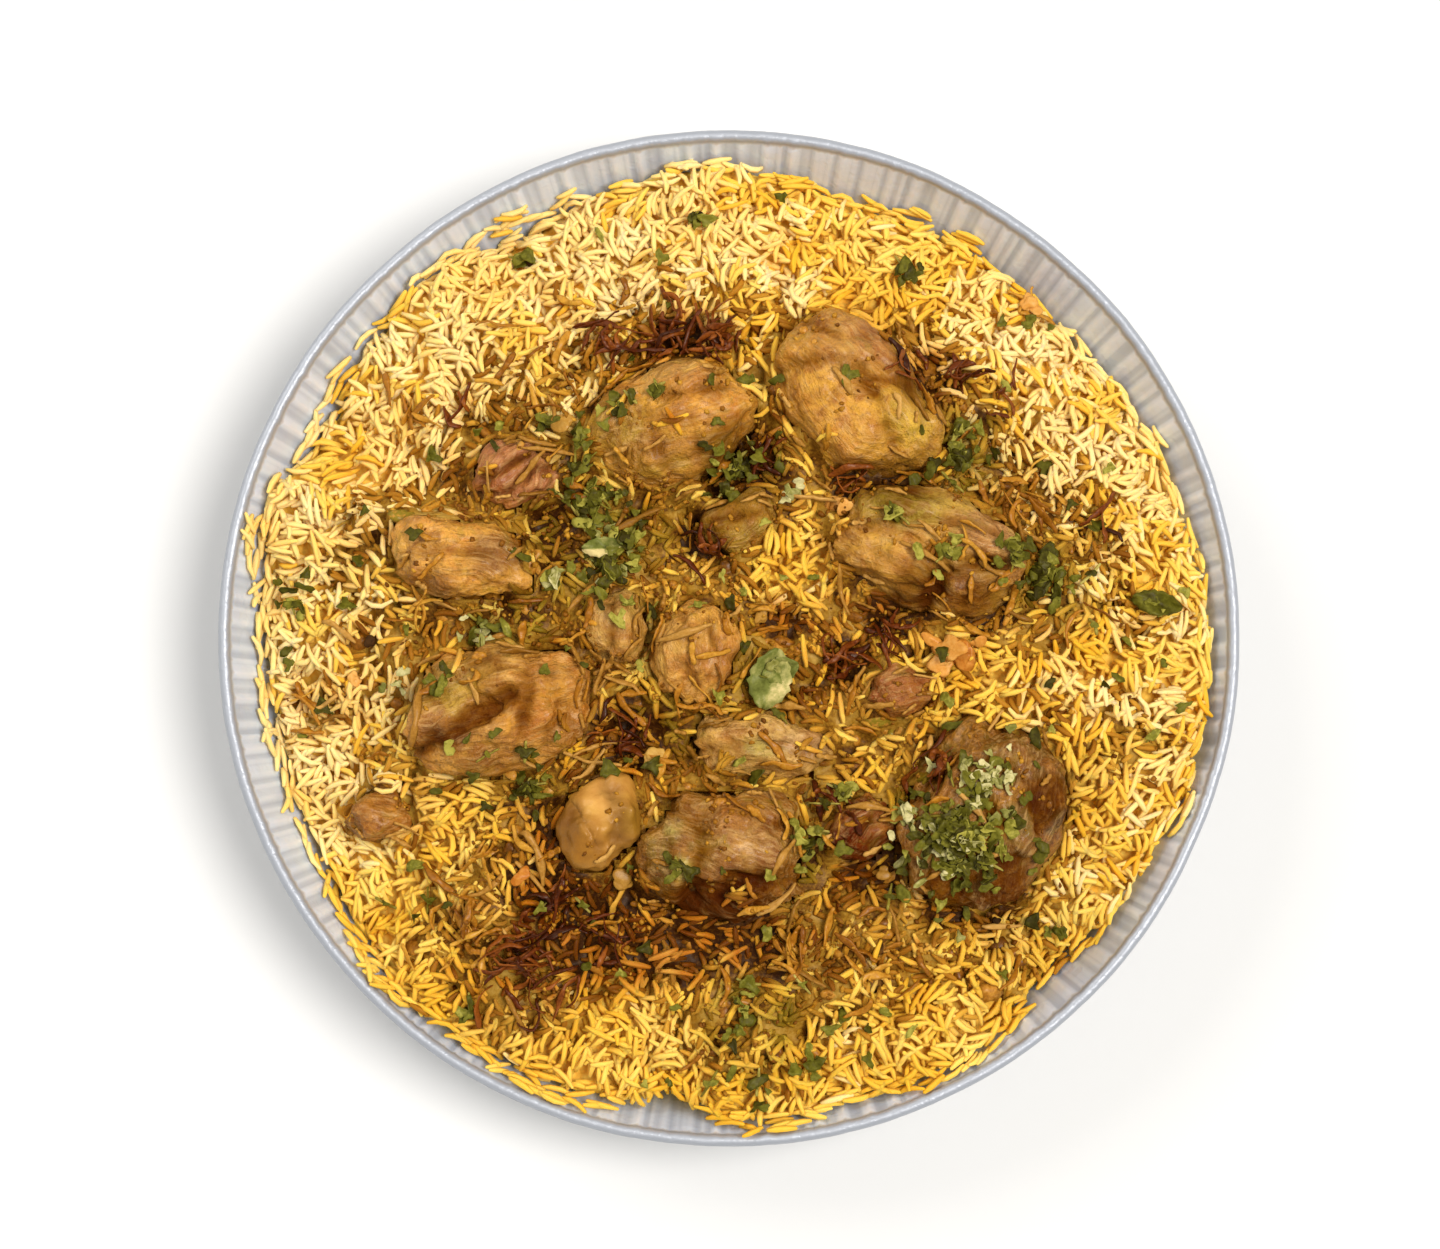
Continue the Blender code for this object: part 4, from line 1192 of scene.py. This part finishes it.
def onions(ground):
    """Onion slices: some fried dark, thin and crisp, some golden, soft and oily."""
    rng = np.random.default_rng(9)
    dark = topping_material("crisp_fried_onion", evenly("#300E02", "#5A2406", "#8C4A14"), 0.4, 0.15, 1.0)
    golden = topping_material("golden_fried_onion", evenly("#764208", "#A66A18", "#CC9634"), 0.4, 0.2, 1.2)
    anywhere = scattered(rng, 60, lambda x, y: float(sauced(x, y)) * 0.8)
    soft = Strip(0.006, 0.015, 0.0019, 0.0006, 0.05, 0.09, 1.0, 0.0005)
    crisp = Strip(0.006, 0.017, 0.0017, 0.0005, 0.07, 0.12, 1.3, 0.0010)
    strip_piece("fried_onion_golden", rng, ground, gathered(rng, GOLDEN_ONIONS) + anywhere, soft, golden)
    strip_piece("fried_onion_dark", rng, ground, gathered(rng, DARK_ONIONS), crisp, dark)


def meat_strands(ground):
    """Moist, pale tan strands of chicken pulled loose, along the fibres of the pieces they come from."""
    rng = np.random.default_rng(10)
    material = topping_material(
        "pulled_chicken_strands", evenly("#7E5214", "#A4722A", "#C4944A"), 0.42, 0.15, 1.0
    )
    places, headings = [], []
    for item in DRESSINGS:
        low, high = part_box(item.node)
        middle, half = (low + high) / 2, (high - low) / 2
        for _ in range(int(4 + 240 * max(half.x, half.y))):
            angle, reach = rng.uniform(0, FULL_TURN), rng.uniform(0.72, 1.1)
            places.append(
                (middle.x + reach * half.x * math.cos(angle), middle.y + reach * half.y * math.sin(angle))
            )
            headings.append(math.radians(item.fibres) + rng.normal(0, 0.35))
    shreds = Strip(0.0035, 0.0095, 0.0014, 0.0008, 0.01, 0.03, 0.4, 0.0002)
    strip_piece("pulled_chicken_strands", rng, ground, places, shreds, material, "chicken", headings, 5)
    places = scattered(rng, 60, lambda x, y: float(sauced(x, y)) ** 2 * (1 - float(covered(HOLLOWS, x, y))))
    headings = [4 * patch_at(x, y, 0.7, 0.05) + rng.normal(0, 0.3) for x, y in places]
    pulls = Strip(0.008, 0.020, 0.0019, 0.0010, 0.03, 0.06, 0.8, 0.0003)
    strip_piece("pulled_chicken_shreds", rng, ground, places, pulls, material, "chicken", headings)


SOFT_ONION_PLACES = (
    (-0.147, -0.252), (-0.205, -0.485), (-0.32, 0.40), (0.30, -0.47), (0.06, 0.02),
)
TOMATO_PLACES = (
    (0.213, 0.244), (0.226, 0.236), (0.592, 0.661), (0.60, 0.65), (-0.40, -0.48), (-0.73, -0.09),
    (0.48, -0.03), (0.39, -0.02),
)
TOMATO_SLICES = ((0.425, -0.035), (0.450, -0.058), (0.415, -0.068))
SPICE_PLACES = ((-0.399, 0.749), (-0.392, 0.742), (-0.069, 0.817), (-0.060, 0.822), (-0.70, -0.02), (0.52, -0.56))


def scraps(name, seed, ground, places, smallest, largest, squash, roughness, material):
    """A few lumps of one kind at places given as shares of the rim's radius."""
    rng = np.random.default_rng(seed)
    where = np.array(places) * RIM
    sizes = rng.uniform(smallest, largest, len(where))
    rest = height_near(ground, where[:, 0], where[:, 1], 0.001) + 0.3 * squash * sizes
    vertices, faces, each = blobs(rng, where, rest, sizes, squash, 3, roughness)
    press_discs(ground, where, rest + sizes * squash * 0.6, sizes)
    add_mesh(name, vertices, faces, material, tint=np.repeat(rng.uniform(0.1, 0.9, len(where)), each))


def larger_scraps(ground):
    """Glassy soft onion, stewed tomato, and wrinkled, near-black whole spices, where they show."""
    onion = topping_material("soft_cooked_onion", evenly("#8C5E18", "#AC7C30", "#C8A050"), 0.36, 0.2, 1.5)
    tomato = topping_material("stewed_tomato", evenly("#AC6218", "#CC8A38", "#DCA85A"), 0.4, 0.15, 1.6, 0.7)
    spice = topping_material("whole_spice", evenly("#180C04", "#301C0A", "#4E3014"), 0.65, 0.0, 0.8, 1.0)
    scraps("soft_onion_pieces", 13, ground, SOFT_ONION_PLACES, 0.0020, 0.0034, 0.20, 0.42, onion)
    scraps("tomato_slices", 16, ground, TOMATO_SLICES, 0.0034, 0.0044, 0.16, 0.60, tomato)
    scraps("tomato_pieces", 14, ground, TOMATO_PLACES, 0.0014, 0.0026, 0.3, 0.46, tomato)
    scraps("whole_spices", 15, ground, SPICE_PLACES, 0.0012, 0.0018, 0.8, 0.22, spice)


LEAF_POINTS = 11  # round the edge of a scrap of leaf

HERBS = (
    (-0.26, 0.25, 0.09, 50), (-0.23, 0.12, 0.1, 58), (0.01, 0.31, 0.06, 28), (0.45, 0.34, 0.07, 32),
    (0.605, 0.1, 0.08, 36), (0.83, 0.055, 0.03, 5), (-0.39, -0.31, 0.05, 14), (0.155, -0.42, 0.05, 14),
    (0.217, -0.32, 0.03, 8), (-0.4, 0.75, 0.02, 4), (-0.07, 0.815, 0.02, 5), (0.35, 0.72, 0.03, 6),
    (-0.845, 0.06, 0.04, 9), (0.03, -0.737, 0.05, 9), (0.164, -0.844, 0.03, 7), (0.068, -0.893, 0.03, 5),
    (0.63, -0.58, 0.04, 5), (-0.516, -0.737, 0.02, 3), (0.44, -0.41, 0.13, 190), (-0.47, 0.0, 0.05, 8),
    (-0.3, 0.36, 0.05, 10), (0.08, -0.1, 0.05, 6), (0.32, 0.22, 0.04, 8), (0.42, 0.135, 0.04, 7),
    (0.55, 0.145, 0.04, 10), (-0.555, -0.115, 0.04, 6), (-0.225, 0.43, 0.05, 9), (-0.15, 0.45, 0.03, 4),
    (-0.36, 0.4, 0.03, 4), (-0.1, -0.46, 0.04, 6),
)
PALE_HERBS = (
    (-0.473, -0.003, 0.045, 10), (-0.642, -0.106, 0.03, 6), (0.125, 0.263, 0.03, 6), (-0.24, 0.15, 0.06, 16),
    (0.43, -0.44, 0.09, 58), (0.5, -0.29, 0.09, 46), (0.34, -0.36, 0.05, 10), (0.077, -0.096, 0.03, 8),
    (-0.33, 0.1, 0.03, 5),
)


def leaf_piece(name, rng, ground, places, span, material):
    """Torn scraps of leaf: thin, lobed, folded and curled."""
    count = len(places)
    size = rng.uniform(*span, count)
    theta = (np.arange(LEAF_POINTS) * FULL_TURN / LEAF_POINTS)[None]
    lobes = rng.integers(2, 4, (count, 1))
    outline = 0.66 + 0.24 * np.cos(lobes * theta + rng.uniform(0, FULL_TURN, (count, 1)))
    outline = (outline + rng.normal(0, 0.10, outline.shape)) * size[:, None]
    middle = np.zeros((count, 1))
    u, v = (
        np.concatenate([middle, 0.55 * outline * way, outline * way], 1) for way in (np.cos(theta), np.sin(theta))
    )
    v = v * rng.uniform(0.5, 0.95, (count, 1))
    w = rng.uniform(0.0, 0.7, (count, 1)) * np.abs(v) + rng.normal(0, 0.18, (count, 1)) * u * u / size[:, None]
    w = w + 0.0002 * np.sin(u / 0.0006 + rng.uniform(0, 6, (count, 1)))
    lean, roll = rng.normal(0, 0.32, (count, 1)), rng.normal(0, 0.32, (count, 1))
    turn = rng.uniform(0, FULL_TURN, (count, 1))
    layers = []
    for lift in (0.00011, -0.00011):
        a, c = turned(u, w + lift, lean)
        b, c = turned(v, c, roll)
        layers.append(np.stack([*turned(a, b, turn), c], -1))
    shape = np.concatenate(layers, 1)
    where = np.array(places)
    rest = height_near(ground, where[:, 0], where[:, 1], 0.0009) + 0.0002
    rest = rest - 0.35 * shape[..., 2].min(1)
    vertices = shape + np.c_[where, rest][:, None]
    # Either side of the leaf is a fan round its middle, then a band; a third band closes the rim.
    side = 1 + 2 * LEAF_POINTS
    near = np.stack([1 + np.arange(LEAF_POINTS), 1 + (np.arange(LEAF_POINTS) + 1) % LEAF_POINTS], 1)
    far = near + LEAF_POINTS
    fan = np.c_[np.zeros(LEAF_POINTS, int), near]
    band = np.c_[near[:, 0], far, near[:, 1]]
    back = band[:, [0, 3, 2, 1]] + side
    fans = np.concatenate([fan, fan[:, [0, 2, 1]] + side])
    bands = np.concatenate([band, back, np.c_[far[:, 0], far + side, far[:, 1]]])
    faces = repeated([fans, bands], count, 2 * side)
    tint = np.clip(rng.normal(0.5, 0.28, count), 0, 1)
    return add_mesh(name, vertices.reshape(-1, 3), faces, material, tint=np.repeat(tint, 2 * side))


LEAF_ROWS = 15
LEAF_COLUMNS = 9
LEAF_THICKNESS = 0.0003


def whole_leaf(name, ground, x, y, heading, length, width, cream, material):
    """A leaf that was left whole: toothed edge, sunken midrib and raised flesh between the veins.

    Its place is in shares of the rim's radius and its heading in degrees. cream is how pale the
    half right of the midrib is, from 0 to 1.
    """
    run = np.linspace(0, 1, LEAF_ROWS)[:, None]
    across = np.linspace(-1, 1, LEAF_COLUMNS)[None]
    half = width / 2 * np.sin(math.pi * np.clip(run * 0.94 + 0.03, 0, 1)) ** 0.75
    half = half * (1 + 0.09 * np.sin(run * 34) * np.abs(across) ** 3)
    v = half * across
    u = (run - 0.5) * length - 0.12 * np.abs(v)
    fold = 0.30 * np.abs(v) + 0.10 * length * (run - 0.5) ** 2 + 0.0009 * np.sin(run * 7 + across * 2)
    veins = 0.00028 * np.abs(np.sin(run * 22 + np.abs(across) * 2.2)) - 0.0003 * bell(across / 0.12)
    du, dv = turned(u, v, math.radians(heading))
    px, py = x * RIM + du, y * RIM + dv
    base = np.percentile(height_near(ground, px.ravel(), py.ravel(), 0.001), 80)
    top = np.stack([px, py, base + fold + veins], -1).reshape(-1, 3)
    vertices = np.concatenate([top, top - [0, 0, LEAF_THICKNESS]])
    n = len(top)
    corner = (np.arange(LEAF_ROWS - 1)[:, None] * LEAF_COLUMNS + np.arange(LEAF_COLUMNS - 1)[None]).ravel()
    upper = np.stack([corner, corner + LEAF_COLUMNS, corner + LEAF_COLUMNS + 1, corner + 1], 1)[:, ::-1]
    border = np.concatenate(
        [np.arange(LEAF_COLUMNS), np.arange(2, LEAF_ROWS + 1) * LEAF_COLUMNS - 1,
         n - 2 - np.arange(LEAF_COLUMNS - 1), np.arange(LEAF_ROWS - 2, 0, -1) * LEAF_COLUMNS]
    )
    after = np.roll(border, -1)
    rim = np.stack([border, after, after + n, border + n], 1)[:, ::-1]
    tint = np.clip(0.35 + 0.15 * np.sin(run * 9 + across * 3) + cream * np.clip(-across * 3, 0, 1), 0, 1).ravel()
    return add_mesh(name, vertices, [upper, upper[:, ::-1] + n, rim], material, tint=np.tile(tint, 2))


def herbs(ground):
    """Chopped coriander and mint, wilted by the heat, with bits of juicy stem and whole leaves."""
    rng = np.random.default_rng(12)
    dark = topping_material(
        "chopped_coriander",
        ((0.0, "#302A04"), (0.45, "#545010"), (0.8, "#767022"), (1.0, "#A0963E")), 0.55, 0.05, 1.6, 0.3,
    )
    pale = topping_material("chopped_mint", evenly("#666422", "#928C48", "#CCC088"), 0.45, 0.1, 1.6, 0.3)
    stem = topping_material("coriander_stems", evenly("#6A5C14", "#908230", "#B4A454"), 0.4, 0.12, 1.2, 0.3)
    over_sauce = scattered(rng, 70, lambda x, y: float(sauced(x, y)))
    over_rice = scattered(rng, 60, lambda x, y: (1 - float(sauced(x, y))) * (0.25 if y > 0.1 * RIM else 1.0))
    places = gathered(rng, HERBS) + over_sauce + over_rice
    stalks = Strip(0.004, 0.011, 0.0010, 0.0009, 0.02, 0.03, 0.1, 0.0004)
    strip_piece("coriander_stems", rng, ground, places[::7], stalks, stem, sides=5)
    mint = topping_material(
        "fresh_mint_leaf", ((0.0, "#4A4E18"), (0.4, "#6C7030"), (0.75, "#A29A58"), (1.0, "#D4BE80")), 0.5, 0.08, 2.2
    )
    whole_leaf("mint_leaf", ground, 0.080, -0.100, 75, 0.018, 0.0125, 0.40, mint)
    whole_leaf("mint_sprig_leaf", ground, 0.10, -0.085, 20, 0.011, 0.008, 0.0, mint)
    whole_leaf("pale_leaf_bit", ground, -0.244, 0.156, 5, 0.012, 0.006, 1.2, mint)
    whole_leaf("coriander_leaf_right", ground, 0.834, 0.055, -12, 0.015, 0.0075, 0.0, dark)
    leaf_piece("chopped_coriander", rng, ground, places, (0.0016, 0.0042), dark)
    leaf_piece("chopped_mint", rng, ground, gathered(rng, PALE_HERBS), (0.0014, 0.0034), pale)


# ---------------------------------------------------------------- light, floor and camera

VIEW_ELEVATION = 84.5  # degrees over the table
VIEW_DISTANCE = 10 * RIM
RIM_SHARE_OF_WIDTH = 0.7116  # the rim's share of the view's width
AIM_SHARE = (-0.0171, 0.0164)  # the view's middle from the rim's, in shares of its radius
SENSOR = 36.0

# Each sun's azimuth and height over the table in degrees, its strength, and its width in degrees.
LIGHTS = (("key", -4, 66, 2.8, 26), ("top", 100, 78, 0.3, 60), ("fill", 140, 42, 1.1, 30))


def floor_and_light():
    """Matt white paper under an even sky, a wide sun from the right and two fills."""
    material, node = new_material("matt_white_paper")
    node("OutputMaterial", {"Surface": node("BsdfPrincipled", {"Base Color": "#D9D9D9", "Roughness": 0.9})})
    mesh = bpy.data.meshes.new("studio_floor")
    far = 40 * RIM
    mesh.from_pydata([(-far, -far, 0), (far, -far, 0), (far, far, 0), (-far, far, 0)], [], [(0, 1, 2, 3)])
    mesh.materials.append(material)
    floor = bpy.data.objects.new("studio_floor", mesh)
    floor.location.z = -0.0002
    bpy.context.scene.collection.objects.link(floor)
    world = bpy.data.worlds.new("studio")
    bpy.context.scene.world = world
    world.use_nodes = True
    sky = world.node_tree.nodes["Background"].inputs
    sky["Color"].default_value, sky["Strength"].default_value = linear("#FFFEFC"), 0.45
    for name, azimuth, elevation, strength, spread in LIGHTS:
        lamp = bpy.data.lights.new(name, "SUN")
        lamp.energy = strength
        lamp.angle = math.radians(spread)
        lamp.color = (1.0, 0.97, 0.92)
        thing = bpy.data.objects.new(name, lamp)
        thing.rotation_euler = (0, math.radians(90 - elevation), math.radians(azimuth))
        bpy.context.scene.collection.objects.link(thing)


def camera():
    """A long lens over the dish, a little in front of it."""
    lens = bpy.data.cameras.new("camera")
    lens.sensor_width = SENSOR
    lens.lens = SENSOR * VIEW_DISTANCE * RIM_SHARE_OF_WIDTH / (2 * RIM)
    lens.clip_start, lens.clip_end = 0.05, 100
    thing = bpy.data.objects.new("camera", lens)
    up = math.radians(VIEW_ELEVATION)
    middle = (tray_low + tray_high) / 2
    aim = Vector((middle.x + AIM_SHARE[0] * RIM, middle.y + AIM_SHARE[1] * RIM, TRAY_HEIGHT))
    thing.location = aim + VIEW_DISTANCE * Vector((0, -math.cos(up), math.sin(up)))
    thing.rotation_euler = (math.radians(90) - up, 0, 0)
    bpy.context.scene.collection.objects.link(thing)
    bpy.context.scene.camera = thing


# ---------------------------------------------------------------- the whole dish

camera()
floor_and_light()
bpy.context.scene.view_settings.view_transform = "Standard"

foil_tray()
chicken = chicken_material()
dressed = [dress(item, chicken, "chicken") for item in DRESSINGS] + [dress(POTATO, potato_material(), "potato")]

edge_of_rice = rice_edge()
target = rasterised(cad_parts["rice_heap"], heap_low, heap_high, wall_map())
meat = np.zeros((CELLS, CELLS))
for piece in dressed:
    rasterised(piece, Vector(piece.bound_box[0]), Vector(piece.bound_box[6]), meat)
plan = np.meshgrid(AXIS, AXIS, indexing="ij")
around = np.arctan2(plan[1], plan[0])
to_edge = edge_of_rice(around) - np.hypot(*plan)
inside = to_edge > 0
relief = np.zeros((CELLS, CELLS))
relief[inside] = clumps(plan[0][inside], plan[1][inside])
beside_meat = np.clip(2 * softened((meat > 0).astype(float), 0.006), 0, 1)
bank = BANK * beside_meat * (0.35 + 0.65 * sauced(*plan))
target = target + (relief + bank - HOLLOW_DEPTH * covered(HOLLOWS, *plan)) * np.clip(to_edge / EDGE_FADE, 0, 1)
target = np.where(~inside & (to_edge > -np.maximum(run_up(around), 0)), wall_map() + LOOSE_LAYER, target)
core_top = target - CORE_DEPTH * (1 - 0.55 * beside_meat)
rice_core(core_top, edge_of_rice)
ground = np.maximum(np.where(inside, core_top, wall_map()), meat)
masala_lumps(ground, target, meat)
loose = scatter_rice(ground, target, lambda angle: edge_of_rice(angle) + max(run_up(angle), 0), meat)
masala_gravy(ground, meat, inside)
for kind, stained, *shades in (
    ("pale", "#C07A18", "#F8C868", "#FCD584", "#FDDC98"),
    ("saffron", "#A65A08", "#E8AC2C", "#F2BE48", "#FACE66"),
    ("masala", "#5A2400", "#7C4A0E", "#AC741E", "#D4A038"),
):
    grain_piece(f"{kind}_rice_grains", loose[kind], rice_material(f"{kind}_basmati", evenly(*shades), stained))
meat_strands(ground)
onions(ground)
larger_scraps(ground)
masala_crumbs(ground, meat)
herbs(ground)
